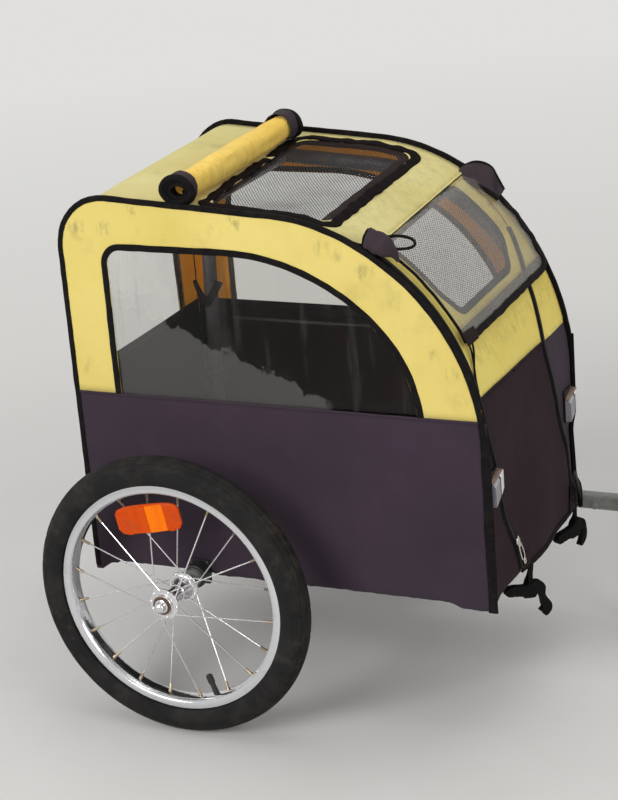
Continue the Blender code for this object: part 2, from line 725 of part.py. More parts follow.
def make_wheel(side, word):
    v = side * WHEEL_V
    centre = (0, v, AXLE_H)
    hub_end = WHEEL_V + HUB_W / 2
    make_tyre(f"tyre_{word}", v, centre)
    make_inner_tube(f"inner_tube_{word}", v, centre)
    make_rim(f"rim_{word}", v, centre)
    make_spoked_hub(f"spoked_hub_{word}", v, centre)
    for where, outer in (("outer", hub_end), ("inner", WHEEL_V - HUB_W / 2 + BEARING_W)):
        ends = [(0, side * (outer - BEARING_W), AXLE_H), (0, side * outer, AXLE_H)]
        ring = tube(ends, FORWARD, BEARING_R, BEARING_R - AXLE_R - RUNNING - GAP / 2, 12)
        place(f"bearing_{where}_{word}", ring, BEARING_STEEL, centre)
    tangent = radial(REFLECTOR_ANGLE - math.pi / 2)
    out = radial(REFLECTOR_ANGLE)
    low = side * (WHEEL_V + REFLECTOR_OUT)
    lens = []
    for level in (low, low + side * REFLECTOR_T):
        ring = []
        for a, b in REFLECTOR_OUTLINE:
            spot = tangent * (a * REFLECTOR_W) + out * (REFLECTOR_RADIUS + b * REFLECTOR_H)
            ring.append(Vector((spot.x, level, AXLE_H + spot.z)))
        lens.append(ring)
    place(f"wheel_reflector_{word}", loft(lens), ORANGE_LENS, centre)

    head_in = hub_end + 2 * GAP
    head_out = head_in + AXLE_HEAD_T
    axle_start = Vector((0, side * (SOCKET_FLOOR_V + 2 * GAP), AXLE_H))
    inward = SOCKET_FLOOR_V + 2 * GAP
    stations = ((0, AXLE_R), (head_in - inward, AXLE_R), (head_in - inward, AXLE_HEAD_R),
                (head_out - inward, AXLE_HEAD_R), (head_out - inward, BUTTON_STEM_R + RUNNING),
                (head_out - inward - BUTTON_BORE_DEPTH, BUTTON_STEM_R + RUNNING))
    place(f"axle_{word}", turned(axle_start, LEFTWARD * side, stations, 12), BEARING_STEEL, centre)
    skirt = BUTTON_STEM_LEN
    stations = ((0, BUTTON_STEM_R), (skirt, BUTTON_STEM_R), (skirt, BUTTON_R),
                (skirt + 0.4 * BUTTON_DOME, 0.95 * BUTTON_R), (skirt + 0.8 * BUTTON_DOME, 0.65 * BUTTON_R),
                (skirt + BUTTON_DOME, 0.25 * BUTTON_R))
    button_start = head_out + BUTTON_TRAVEL + GAP - BUTTON_STEM_LEN
    button = turned(Vector((0, side * button_start, AXLE_H)), LEFTWARD * side, stations, 12)
    place(f"axle_button_{word}", button, CHROME, (0, side * head_out, AXLE_H))


make_wheel(-1, "right")
make_wheel(1, "left")


# Frame

def make_frame():
    for side, word in ((-1, "right"), (1, "left")):
        ends = [(RAIL_REAR_U, side * RAIL_V, RAIL_H), (RAIL_FRONT_U, side * RAIL_V, RAIL_H)]
        place(f"base_rail_{word}", tube(ends, LEFTWARD, RAIL_R, RAIL_WALL), FRAME_GREY)
        profile = outline(CABIN_SHAPE, HOOP_INSET, RAIL_TOP_H, RAIL_TOP_H)
        path = [(u, side * HOOP_V, h) for u, h in profile]
        place(f"side_hoop_{word}", tube(path, LEFTWARD, HOOP_R, HOOP_WALL, 8), FRAME_GREY)
        make_collar(side, word)
    reach = RAIL_V - RAIL_R - GAP
    for u, word in ((RAIL_REAR_U + CROSS_INSET, "rear"), (RAIL_FRONT_U - CROSS_INSET, "front")):
        ends = [(u, -reach, RAIL_H), (u, reach, RAIL_H)]
        place(f"cross_tube_{word}", tube(ends, FORWARD, RAIL_R, RAIL_WALL), FRAME_GREY)
    reach = HOOP_V - HOOP_R - GAP
    bow_h = roof_h(BOW_U, HOOP_INSET)
    ends = [(BOW_U, -reach, bow_h), (BOW_U, reach, bow_h)]
    place("roof_bow", tube(ends, FORWARD, HOOP_R, HOOP_WALL, 10), FRAME_GREY)
    half = BEAM_W / 2
    joint_v = (SOCKET_IN_V + SOCKET_FLOOR_V) / 2
    bar = block((-half, -joint_v, AXLE_H - half), (half, joint_v, AXLE_H + half))
    beam = place("axle_beam", bar, FRAME_GREY)
    for side in (-1, 1):
        depth = SOCKET_OUT_V - SOCKET_IN_V
        bore = AXLE_R + RUNNING
        stations = ((0, SOCKET_R), (depth, SOCKET_R), (depth, bore), (SOCKET_FLOOR_V - SOCKET_IN_V, bore))
        join(beam, turned(Vector((0, side * SOCKET_IN_V, AXLE_H)), LEFTWARD * side, stations, 20))
    floor = block((FLOOR_REAR_U, -FLOOR_V, RAIL_TOP_H), (FLOOR_FRONT_U, FLOOR_V, RAIL_TOP_H + FLOOR_T))
    place("floor_board", floor, FLOOR_BOARD)


def make_collar(side, word):
    inner, face = side * (CABIN_V + GAP), side * (CABIN_V + GAP + COLLAR_PLATE_T)
    half_u, half_h = COLLAR_PLATE_U / 2, COLLAR_PLATE_H / 2
    low, high = sorted((inner, face))
    flange = block((-half_u, low, AXLE_H - half_h), (half_u, high, AXLE_H + half_h))
    collar = place(f"axle_collar_{word}", flange, BLACK_STEEL)
    outer = side * COLLAR_OUT_V
    spare = side * CUTTER_REACH
    join(collar, rod((0, (inner + face) / 2, AXLE_H), (0, outer, AXLE_H), COLLAR_R, 20))
    cut(collar, rod((0, inner - spare, AXLE_H), (0, outer + spare, AXLE_H), SOCKET_R + RUNNING, 20))


make_frame()


# Cabin

def make_side(side, word):
    notch_u, notch_h = SOCKET_R + NOTCH_GAP, AXLE_H + SOCKET_R + NOTCH_GAP
    profile = outline(CABIN_SHAPE, 0, CABIN_BOTTOM_H, CABIN_BOTTOM_H)
    profile += [(notch_u, CABIN_BOTTOM_H), (notch_u, notch_h), (-notch_u, notch_h),
                (-notch_u, CABIN_BOTTOM_H)]
    hole = outline(WINDOW_SHAPE, 0, WINDOW_SILL_H, WINDOW_SILL_H)
    low, high = sorted((side * PANEL_IN_V, side * CABIN_V))
    place(f"side_panel_{word}", plate(profile, "v", low, high, [hole]), YELLOW_FABRIC)
    pane = outline(WINDOW_SHAPE, -PANE_LAP, WINDOW_SILL_H - PANE_LAP, WINDOW_SILL_H - PANE_LAP)
    low, high = sorted((side * SKIN_V, side * (SKIN_V - PANE_T)))
    place(f"side_window_{word}", plate(pane, "v", low, high), CLEAR_VINYL)


def make_rear():
    outer_u = CABIN_REAR_U + BINDING
    rear_window_top = ROOF_REAR_H - REAR_WINDOW_DROP
    wall = [(-SKIN_V, CABIN_BOTTOM_H), (SKIN_V, CABIN_BOTTOM_H), (SKIN_V, ROOF_REAR_H - GAP),
            (-SKIN_V, ROOF_REAR_H - GAP)]
    hole = rounded((-REAR_WINDOW_V, REAR_WINDOW_SILL_H), (REAR_WINDOW_V, rear_window_top),
                   REAR_WINDOW_CORNER_R)
    place("rear_panel", plate(wall, "u", outer_u, outer_u + SKIN_T, [hole]), YELLOW_FABRIC)
    pane = rounded((-REAR_WINDOW_V - PANE_LAP, REAR_WINDOW_SILL_H - PANE_LAP),
                   (REAR_WINDOW_V + PANE_LAP, rear_window_top + PANE_LAP), REAR_WINDOW_CORNER_R + PANE_LAP)
    pane_u = outer_u + SKIN_T + GAP
    place("rear_window", plate(pane, "u", pane_u, pane_u + PANE_T), CLEAR_VINYL)


def make_roof():
    outer = outline(CABIN_SHAPE, BINDING, ROOF_REAR_H, HEM_H)
    inner = outline(CABIN_SHAPE, BINDING + SKIN_T, ROOF_REAR_H, HEM_H - SKIN_T * math.sin(HEM_ANGLE))
    roof = place("roof_panel", ribbon(outer, inner, lambda h: -SKIN_V, lambda h: SKIN_V, 2), ROOF_FABRIC)
    opening = rounded((HATCH_REAR_U, HATCH_RIGHT_V), (HATCH_FRONT_U, HATCH_LEFT_V), HATCH_CORNER_R)
    cut(roof, plate(opening, "h", HEM_H - HATCH_CUT_DOWN, HEM_H + HATCH_CUT_UP))

    start_u, end_u = HATCH_REAR_U - NET_LAP, HATCH_FRONT_U + NET_LAP
    start_v, end_v = HATCH_RIGHT_V - NET_LAP, HATCH_LEFT_V + NET_LAP
    def on_net(a, b, side):
        u = start_u + (end_u - start_u) * a
        v = start_v + (end_v - start_v) * b
        sag = HATCH_NET_SAG * math.sin(math.pi * a) * math.sin(math.pi * b)
        return u, v, roof_h(u, BINDING + SKIN_T + GAP + side * NET_T) - sag
    mesh_net = net(on_net, HATCH_NET_GAPS, end_u - start_u, end_v - start_v)
    place("hatch_net", mesh_net, BLACK_NET)

    centre_h = roof_h(ROLL_U, BINDING) + ROLL_R + ROLL_LIFT
    pitch = ROLL_SHEET_T + ROLL_TURN_GAP
    steps = round(ROLL_TURNS * ROLL_STEPS)
    outer_edge, inner_edge = [], []
    for k in range(steps + 1):
        angle = 2 * math.pi * k / ROLL_STEPS - math.pi / 2
        radius = ROLL_R - pitch * k / ROLL_STEPS
        for edge, r in ((outer_edge, radius), (inner_edge, radius - ROLL_SHEET_T)):
            edge.append((ROLL_U + r * math.cos(angle), centre_h + r * math.sin(angle)))
    roll = ribbon(outer_edge, inner_edge, lambda h: ROLL_RIGHT_V, lambda h: ROLL_LEFT_V)
    place("hatch_roll", roll, GOLD_FABRIC)


def make_front():
    start = front_angle(HEM_U + HEM_GAP)
    outer = front_profile(BINDING, start, CABIN_BOTTOM_H)
    inner = front_profile(BINDING + SKIN_T, start, CABIN_BOTTOM_H)
    half = ZIP_GAP / 2
    hem = (HEM_U + HEM_GAP / 2, 0, HEM_H)
    right = ribbon(outer, inner, lambda h: -SKIN_V, lambda h: right_zip(h) - half)
    place("front_corner_right", right, DARK_FABRIC)
    left = ribbon(outer, inner, lambda h: left_zip(h) + half, lambda h: SKIN_V)
    place("front_corner_left", left, DARK_FABRIC)
    middle = ribbon(outer, inner, lambda h: right_zip(h) + half, lambda h: left_zip(h) - half, 4)
    door = place("front_door", middle, DARK_FABRIC, hem)
    top_h, sill_h = DOOR_WINDOW_TOP_H, DOOR_WINDOW_SILL_H
    (top_right, top_left), (sill_right, sill_left) = DOOR_WINDOW_TOP_V, DOOR_WINDOW_SILL_V
    shoulder_h = sill_h + DOOR_WINDOW_SHOULDER * (top_h - sill_h)
    window = [(top_right, top_h), (top_right, shoulder_h), (sill_right, sill_h), (sill_left, sill_h),
              (top_left, shoulder_h), (top_left, top_h)]
    cut(door, plate(window, "u", HEM_U - DOOR_CUT_BACK, FRONT_FACE_U + CUTTER_REACH))

    depth = BINDING + SKIN_T + GAP
    top_angle = math.asin((top_h + NET_LAP / 2 - FRONT_CENTRE_H) / (FRONT_RADIUS_H - depth))
    sill_angle = math.asin((sill_h - NET_LAP - FRONT_CENTRE_H) / (FRONT_RADIUS_H - depth))
    def on_net(a, b, side):
        inset = depth + side * NET_T
        angle = top_angle + (sill_angle - top_angle) * a
        v = top_right - NET_LAP + (top_left - top_right + 2 * NET_LAP) * b
        return (FRONT_CENTRE_U + (FRONT_RADIUS_U - inset) * math.cos(angle), v,
                FRONT_CENTRE_H + (FRONT_RADIUS_H - inset) * math.sin(angle))
    length = (top_angle - sill_angle) * FRONT_RADIUS_U
    place("door_net", net(on_net, DOOR_NET_GAPS, length, top_left - top_right + 2 * NET_LAP), BLACK_NET, hem)

    lift = BINDING - COVER_LIFT
    outer = front_profile(lift - COVER_T, HEM_ANGLE, HEM_H - COVER_DROP)
    inner = front_profile(lift, HEM_ANGLE, HEM_H - COVER_DROP)
    cover = ribbon(outer, inner, lambda h: COVER_RIGHT_V, lambda h: COVER_LEFT_V)
    place("rain_cover", cover, CLEAR_VINYL, (inner[0][0], 0, inner[0][1]))


def make_lamp(side, word):
    low_u = FRONT_FACE_U + GAP
    shape = block((low_u, side * LAMP_V - LAMP_W / 2, LAMP_H - LAMP_TALL / 2),
                  (low_u + LAMP_T, side * LAMP_V + LAMP_W / 2, LAMP_H + LAMP_TALL / 2))
    front = [e for e in shape.edges if all(v.co.x > low_u + LAMP_T / 2 for v in e.verts)]
    bmesh.ops.bevel(shape, geom=front, offset=LAMP_BEVEL, segments=2, profile=0.5, affect="EDGES")
    place(f"front_reflector_{word}", shape, CLEAR_LENS)


def make_hook(v, twist, word):
    """A webbing loop on the door's bottom hem, with a plastic hook hanging crosswise in it."""
    u = FRONT_FACE_U + HOOK_OUT
    top_h = CABIN_BOTTOM_H - HANGING_GAP
    pivot = (u, v, top_h)
    half_w, half_t = HOOK_STRAP_W / 2, HOOK_STRAP_T / 2
    strap = block((u - half_t, v - half_w, top_h - HOOK_STRAP_LEN), (u + half_t, v + half_w, top_h))
    hook = place(f"hook_{word}", strap, BLACK_PLASTIC, pivot)
    along = Vector((math.cos(twist), math.sin(twist), 0))
    across = along.cross(UPWARD)
    middle = Vector((u, v, top_h - HOOK_STRAP_LEN))
    bar = []
    for reach in (-HOOK_BAR_BACK, HOOK_BAR_FRONT):
        centre = middle + along * reach
        bar.append([centre + across * (a * HOOK_BAR_T / 2) + UPWARD * (b * HOOK_BAR_W / 2)
                    for a, b in ((1, 1), (-1, 1), (-1, -1), (1, -1))])
    points = [middle + along * a + UPWARD * b for a, b in HOOK_CURL]
    curl = loft(path_rings(points, across, HOOK_CURL_R, 6))
    join(hook, loft(bar), curl)


def make_pull(v, h, word):
    u = FRONT_FACE_U + HANGING_GAP
    lean = math.tan(PULL_TILT)
    half = PULL_W / 2
    shape = [(v - half, h + half), (v - half + lean * PULL_LEN, h - PULL_LEN),
             (v + half + lean * PULL_LEN, h - PULL_LEN), (v + half, h + half)]
    place(f"zip_pull_{word}", plate(shape, "u", u, u + PULL_T), BLACK_PLASTIC, (u + PULL_T / 2, v, h + half))


for hand, hand_word in ((-1, "right"), (1, "left")):
    make_side(hand, hand_word)
    make_lamp(hand, hand_word)
make_rear()
make_roof()
make_front()
make_hook(HOOK_RIGHT_V, HOOK_RIGHT_TWIST, "right")
make_hook(HOOK_LEFT_V, HOOK_LEFT_TWIST, "left")
make_pull(PULL_RIGHT_V, PULL_RIGHT_H, "right")
make_pull(PULL_LEFT_V, PULL_LEFT_H, "left")


# Tow gear

def make_clamp(u, word):
    """A plate from under a base rail, below the side panel's hem, out round the socket tube."""
    saddle_r = RAIL_R + GAP
    hole_r = ARM_R + GAP
    arm_out = ARM_V + hole_r + CLAMP_WALL
    arm_low = ARM_H - hole_r - CLAMP_WALL
    hem_h = CABIN_BOTTOM_H - HANGING_GAP
    shape = [(RAIL_V - saddle_r - CLAMP_WALL, RAIL_H)]
    shape += arc((RAIL_V, RAIL_H), saddle_r, math.pi, 2 * math.pi, 10)
    shape += [(RAIL_V + saddle_r + CLAMP_WALL, RAIL_H), (RAIL_V + saddle_r + CLAMP_WALL, hem_h),
              (CLAMP_STEP_V, hem_h), (CLAMP_STEP_V, ARM_H + hole_r + CLAMP_WALL),
              (arm_out, ARM_H + hole_r + CLAMP_WALL), (arm_out, arm_low), (CLAMP_STEP_V, arm_low),
              (RAIL_V - saddle_r - CLAMP_WALL, RAIL_H - RAIL_R - CLAMP_WALL)]
    hole = disc((ARM_V, ARM_H), hole_r)
    place(f"tow_clamp_{word}", plate(shape, "u", u, u + CLAMP_T, [hole]), BLACK_STEEL)


def make_socket():
    fork_start = HINGE_U - FORK_BACK
    ends = [(SOCKET_TUBE_REAR_U, ARM_V, ARM_H), (fork_start + JOINT_DEPTH, ARM_V, ARM_H)]
    socket = place("tow_socket", tube(ends, LEFTWARD, ARM_R, ARM_WALL, 16), FRAME_GREY)
    half_w, half_h = FORK_W / 2, FORK_TALL / 2
    fork_end = HINGE_U + FORK_FRONT
    fork = block((fork_start, ARM_V - half_w, ARM_H - half_h), (fork_end, ARM_V + half_w, ARM_H + half_h))
    bolt_h = ARM_H - CROSS_BOLT_DROP
    reach = ARM_R + CROSS_BOLT_PROUD
    bolt = rod((CROSS_BOLT_U, ARM_V - reach, bolt_h), (CROSS_BOLT_U, ARM_V + reach, bolt_h), CROSS_BOLT_R, 10)
    join(socket, fork, bolt)
    slot = TONGUE_T / 2 + RUNNING
    cut(socket, block((HINGE_U - SLOT_BACK, ARM_V - FORK_W, ARM_H - slot),
                      (HINGE_U + 2 * FORK_FRONT, ARM_V + FORK_W, ARM_H + slot)),
        rod((HINGE_U, ARM_V, ARM_H - FORK_TALL), (HINGE_U, ARM_V, ARM_H + FORK_TALL), HINGE_BOLT_R + RUNNING))
    fork_top = ARM_H + half_h
    knob_base = fork_top + GAP
    stations = ((0, BOLT_HEAD_R), (BOLT_HEAD_T, BOLT_HEAD_R), (BOLT_HEAD_T, HINGE_BOLT_R),
                (BOLT_HEAD_T + GAP + FORK_TALL + GAP + KNOB_T, HINGE_BOLT_R))
    start = Vector((HINGE_U, ARM_V, ARM_H - half_h - GAP - BOLT_HEAD_T))
    place("hinge_bolt", turned(start, UPWARD, stations, 12), BEARING_STEEL)
    rim = []
    for k in range(8 * KNOB_LOBES):
        angle = 2 * math.pi * k / (8 * KNOB_LOBES)
        radius = KNOB_R * (1 + KNOB_WAVE * math.cos(KNOB_LOBES * angle))
        rim.append((HINGE_U + radius * math.cos(angle), ARM_V + radius * math.sin(angle)))
    bore = disc((HINGE_U, ARM_V), HINGE_BOLT_R + 2 * RUNNING)
    place("clamp_knob", plate(rim, "h", knob_base, knob_base + KNOB_T, [bore]), BLACK_PLASTIC,
          (HINGE_U, ARM_V, knob_base))


def make_arm():
    start_u = HINGE_U + ARM_START
    path = [(start_u, ARM_H)]
    bend_u = start_u + ARM_STRAIGHT
    level = math.pi / 2
    path += arc((bend_u, ARM_H + ARM_BEND_R), ARM_BEND_R, -level, ARM_BEND - level, ARM_BEND_STEPS)
    high_u = bend_u + ARM_BEND_RUN
    path += arc((high_u, HITCH_H - ARM_BEND_R), ARM_BEND_R, level + ARM_BEND, level, ARM_BEND_STEPS)
    path.append((ARM_TIP_U, HITCH_H))
    points = [(u, ARM_V, h) for u, h in path]
    axis = (HINGE_U, ARM_V, ARM_H)
    arm = place("tow_arm", tube(points, LEFTWARD, ARM_R, ARM_WALL, 12), FRAME_GREY, axis)
    half_w, half_t = TONGUE_W / 2, TONGUE_T / 2
    tongue = arc((HINGE_U, ARM_V), half_w, math.pi / 2, 3 * math.pi / 2, 8)
    tongue += [(start_u + ARM_R, ARM_V - half_w), (start_u + ARM_R, ARM_V + half_w)]
    eye = arc((EYE_U, ARM_V), EYE_R, -math.pi / 2, math.pi / 2, 8)
    eye += [(ARM_TIP_U - ARM_R, ARM_V + EYE_R), (ARM_TIP_U - ARM_R, ARM_V - EYE_R)]
    join(arm, plate(tongue, "h", ARM_H - half_t, ARM_H + half_t),
         plate(eye, "h", HITCH_H - EYE_T / 2, HITCH_H + EYE_T / 2))
    hinge_r, eye_r = HINGE_BOLT_R + 2 * RUNNING, EYE_BOLT_R + 2 * RUNNING
    cut(arm, rod((HINGE_U, ARM_V, ARM_H - FORK_TALL), (HINGE_U, ARM_V, ARM_H + FORK_TALL), hinge_r),
        rod((EYE_U, ARM_V, HITCH_H - FORK_TALL), (EYE_U, ARM_V, HITCH_H + FORK_TALL), eye_r))


def make_claw():
    half_w = CLAW_W / 2
    inside = EYE_T / 2 + RUNNING
    outside = inside + CLAW_T
    web_u = EYE_U + CLAW_THROAT
    jaw_u = web_u + CLAW_T
    axis = (EYE_U, ARM_V, HITCH_H)
    yoke = block((EYE_U - EYE_R, ARM_V - half_w, HITCH_H - outside),
                 (jaw_u, ARM_V + half_w, HITCH_H + outside))
    claw = place("hitch_claw", yoke, BLACK_STEEL, axis)
    jaw_start = (web_u + CLAW_OVERLAP * CLAW_T, ARM_V - half_w, HITCH_H - half_w)
    join(claw, block(jaw_start, (CLAW_TIP_U, ARM_V + half_w, HITCH_H + half_w)))
    gap = JAW_GAP / 2
    pin_u = jaw_u + HITCH_PIN_SET
    throat = block((EYE_U - 2 * EYE_R, ARM_V - CLAW_W, HITCH_H - inside),
                   (web_u, ARM_V + CLAW_W, HITCH_H + inside))
    mouth = block((jaw_u, ARM_V - gap, HITCH_H - CLAW_W),
                  (CLAW_TIP_U + CUTTER_REACH, ARM_V + gap, HITCH_H + CLAW_W))
    bore = rod((pin_u, ARM_V - CLAW_W, HITCH_H), (pin_u, ARM_V + CLAW_W, HITCH_H), HITCH_PIN_R + RUNNING)
    cut(claw, throat, mouth, bore)
    bolt_half = outside + CLAW_T
    join(claw, rod((EYE_U, ARM_V, HITCH_H - bolt_half), (EYE_U, ARM_V, HITCH_H + bolt_half), EYE_BOLT_R))
    length = CLAW_W + HITCH_PIN_PROUD
    stations = ((0, 0.6 * HITCH_PIN_R), (0.4 * HITCH_PIN_R, HITCH_PIN_R), (length + GAP, HITCH_PIN_R),
                (length + GAP, HITCH_PIN_HEAD_R), (length + GAP + HITCH_PIN_HEAD_T, HITCH_PIN_HEAD_R))
    start = Vector((pin_u, ARM_V - half_w - HITCH_PIN_PROUD, HITCH_H))
    place("hitch_pin", turned(start, LEFTWARD, stations, 12), BEARING_STEEL, (pin_u, ARM_V, HITCH_H))


def make_leg():
    half_u, half_v = LEG_BLOCK_U / 2, LEG_BLOCK_V / 2
    low_h, high_h = LEG_PIVOT_H - LEG_R, ARM_H + ARM_R + CLAMP_WALL
    rear_u, front_u = LEG_U - LEG_BLOCK_U, LEG_U + LEG_BLOCK_U
    body = block((LEG_U - half_u, ARM_V - half_v, low_h), (LEG_U + half_u, ARM_V + half_v, high_h))
    holder = place("leg_block", body, BLACK_PLASTIC)
    slot_v = LEG_R + 2 * RUNNING
    slot_top = ARM_H - ARM_R - CLAMP_WALL
    cut(holder, rod((rear_u, ARM_V, ARM_H), (front_u, ARM_V, ARM_H), ARM_R + 2 * GAP, 16),
        block((rear_u, ARM_V - slot_v, low_h - CUTTER_REACH), (front_u, ARM_V + slot_v, slot_top)))
    peg_v = half_v - PEG_INSET
    join(holder, rod((LEG_U, ARM_V - peg_v, LEG_PIVOT_H), (LEG_U, ARM_V + peg_v, LEG_PIVOT_H), LEG_PIN_R))
    down = Vector((math.sin(LEG_RAKE), 0, -math.cos(LEG_RAKE)))
    pivot = Vector((LEG_U, ARM_V, LEG_PIVOT_H))
    reach = (LEG_PIVOT_H - FOOT_T / 2) / math.cos(LEG_RAKE)
    ends = [pivot - down * LEG_TOP, pivot + down * reach]
    leg = place("parking_leg", tube(ends, LEFTWARD, LEG_R, LEG_WALL), FRAME_GREY, pivot)
    foot_u = LEG_U + LEG_PIVOT_H * math.tan(LEG_RAKE)
    join(leg, rod((foot_u, ARM_V, 0), (foot_u, ARM_V, FOOT_T), FOOT_R, 16))
    bore_start, bore_end = (LEG_U, ARM_V - half_v, LEG_PIVOT_H), (LEG_U, ARM_V + half_v, LEG_PIVOT_H)
    cut(leg, rod(bore_start, bore_end, LEG_PIN_R + RUNNING))


make_clamp(CLAMP_REAR_U, "rear")
make_clamp(CLAMP_FRONT_U, "front")
make_socket()
make_arm()
make_claw()
make_leg()
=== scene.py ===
# The looks of a two-wheeled pet trailer, built round its solids.
# Lengths are in metres. u runs forward from the axle, v to the left, h up from the ground.

import math

import bmesh
import bpy
from mathutils import Matrix, Vector, noise
from mathutils.geometry import delaunay_2d_cdt
from mathutils.kdtree import KDTree


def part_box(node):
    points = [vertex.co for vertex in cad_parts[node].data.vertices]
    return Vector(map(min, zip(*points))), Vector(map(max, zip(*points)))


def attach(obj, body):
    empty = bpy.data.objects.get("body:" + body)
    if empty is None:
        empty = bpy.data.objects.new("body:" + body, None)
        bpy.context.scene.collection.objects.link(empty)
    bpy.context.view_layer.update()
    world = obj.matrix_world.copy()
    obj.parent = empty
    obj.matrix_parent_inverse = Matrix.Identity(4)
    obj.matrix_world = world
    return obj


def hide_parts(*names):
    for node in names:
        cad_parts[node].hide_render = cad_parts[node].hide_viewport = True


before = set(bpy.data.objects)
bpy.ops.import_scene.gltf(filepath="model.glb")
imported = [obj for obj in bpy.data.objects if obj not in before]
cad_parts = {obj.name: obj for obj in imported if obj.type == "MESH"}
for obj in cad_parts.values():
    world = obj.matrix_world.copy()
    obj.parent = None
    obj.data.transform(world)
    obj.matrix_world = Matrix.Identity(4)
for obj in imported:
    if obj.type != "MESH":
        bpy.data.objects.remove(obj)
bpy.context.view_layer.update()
scene = bpy.context.scene
hub_low, hub_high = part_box("spoked_hub_right")
AXLE_X = (hub_low[0] + hub_high[0]) / 2

# Wheels
WHEEL_R = 0.194
WHEEL_V = 0.256
TYRE_SECTION_R = 0.0215
RIM_EDGE_R = 0.1585
RIM_DEPTH = 0.014
VALVE_ANGLE = math.radians(-70.5)
VALVE_LEN = 0.042
SPOKES_PER_FLANGE = 10
SPOKE_CIRCLE_R = 0.0185
SPOKE_HEAD_OUT = 0.0018
FIRST_NIPPLE = math.radians(9.5)
FLANGE_SPAN = 0.054
HUB_W = 0.066
AXLE_R = 0.006
REFLECTOR_OUT = 0.0145
REFLECTOR_RADIUS = 0.111
REFLECTOR_ANGLE = math.radians(101)
TREAD_CELLS = 34

# Frame
RAIL_R = 0.0125
TUBE_WALL = 0.0015
RAIL_V = 0.150
RAIL_REAR_U = -0.140
RAIL_FRONT_U = 0.392
BEAM_W = 0.018
HOOP_R = 0.010
HOOP_V = 0.158
HOOP_INSET = 0.030
GAP = 0.0003

# Cabin, as in the solids
CABIN_V = 0.176
CABIN_REAR_U = -0.162
CABIN_BOTTOM_H = 0.190
BINDING = 0.006
PANEL_T = 0.003
REAR_CORNER_R = 0.072
ROOF_PITCH = 0.065
FRONT_CENTRE_U = 0.130
FRONT_CENTRE_H = 0.390
FRONT_RADIUS_U = 0.285
FRONT_RADIUS_H = 0.310
ROOF_REAR_HEM = 0.006
HEM_U = 0.272
WINDOW_REAR_MARGIN = 0.070
WINDOW_TOP_MARGIN = 0.058
WINDOW_FRONT_MARGIN = 0.089
WINDOW_SILL_H = 0.437
WINDOW_CORNER_R = 0.020
WINDOW_PITCH = 0.0
WINDOW_CENTRE_BACK = 0.060
WINDOW_CENTRE_LIFT = 0.030
PANE_LAP = 0.009
REAR_WINDOW_V = 0.122
REAR_WINDOW_DROP = 0.020
REAR_WINDOW_CORNER_R = 0.025
HATCH_REAR_U = 0.046
HATCH_FRONT_U = 0.212
HATCH_RIGHT_V = -0.148
HATCH_LEFT_V = 0.142
HATCH_CORNER_R = 0.022
ROLL_U = 0.030
ROLL_RIGHT_V = -0.168
ROLL_LEFT_V = 0.132
ROLL_R = 0.019
ROLL_LIFT = 0.0025
ROLL_TIGHT = 0.97
ROLL_SKEW = 0.014
RIGHT_ZIP = ((0.670, -0.160), (0.530, -0.160), (0.425, -0.157), (0.360, -0.134), (0.295, -0.1145),
             (0.260, -0.0965), (0.235, -0.082), (0.170, -0.058))
LEFT_ZIP = ((0.670, 0.160), (0.600, 0.146), (0.560, 0.124), (0.530, 0.104), (0.460, 0.084), (0.420, 0.087),
            (0.365, 0.108), (0.315, 0.126), (0.262, 0.149), (0.170, 0.164))
DOOR_WINDOW_DROP = 0.009
LEFT_ZIP_TOP_H = 0.588
DOOR_WINDOW_TALL = 0.087
DOOR_WINDOW_TOP_V = (-0.124, 0.112)
DOOR_WINDOW_SILL_V = (-0.104, 0.074)
COVER_RIGHT_V = -0.152
COVER_LEFT_V = 0.166
COVER_DROP = 0.122
LAMP_V = 0.152
LAMP_H = 0.343
LAMP_T = 0.010
LAMP_W = 0.028
LAMP_TALL = 0.042
LAMP_BASE = 0.004
HOOK_RIGHT_V = -0.050
HOOK_LEFT_V = 0.142
HOOK_RIGHT_H = 0.1565
HOOK_LEFT_H = 0.1600
HOOK_RIGHT_TWIST = math.radians(48)
HOOK_LEFT_TWIST = math.radians(66)
HOOK_RIGHT_TILT = math.radians(-10)
HOOK_LEFT_TILT = math.radians(7)
HOOK_RIGHT_TOP_V = -0.036
HOOK_LEFT_TOP_V = 0.162
HOOK_OUT = 0.004
HOOK_T = 0.0104
HOOK_BACK = (
    (-0.035, -0.001), (-0.0335, 0.0035), (-0.029, 0.0066), (-0.02, 0.0078), (-0.014, 0.0074),
    (-0.004, 0.0078), (0.002, 0.01), (0.007, 0.013), (0.0115, 0.0142), (0.017, 0.0128), (0.0225, 0.0085),
    (0.0252, 0.003), (0.0256, -0.005))
HOOK_SPLAYED_TIP = (
    (0.0285, -0.01), (0.0325, -0.014), (0.0365, -0.0185), (0.0388, -0.024), (0.038, -0.03), (0.035, -0.0345),
    (0.031, -0.037), (0.0285, -0.035), (0.0288, -0.0308), (0.0258, -0.0304), (0.023, -0.0308),
    (0.0218, -0.0292), (0.0245, -0.026), (0.025, -0.024), (0.0232, -0.0205), (0.021, -0.0136))
HOOK_SLIM_TIP = (
    (0.0254, -0.0132), (0.0222, -0.0222), (0.0165, -0.0275), (0.0112, -0.0288), (0.0088, -0.0265),
    (0.0125, -0.0222), (0.0158, -0.014))
HOOK_BELLY = (
    (0.0178, -0.0072), (0.016, -0.0036), (0.0142, -0.0032), (0.0122, -0.0062), (0.0105, -0.0085),
    (0.005, -0.0094), (-0.006, -0.0094), (-0.0088, -0.007), (-0.02, -0.0064), (-0.029, -0.0066),
    (-0.033, -0.0045))
PULL_RIGHT_V = -0.082
PULL_RIGHT_H = 0.236
PULL_LEFT_V = 0.156
PULL_LEFT_H = 0.232
PULL_LEN = 0.042
PULL_LIFT = 0.004
PULL_TILT = math.radians(30)

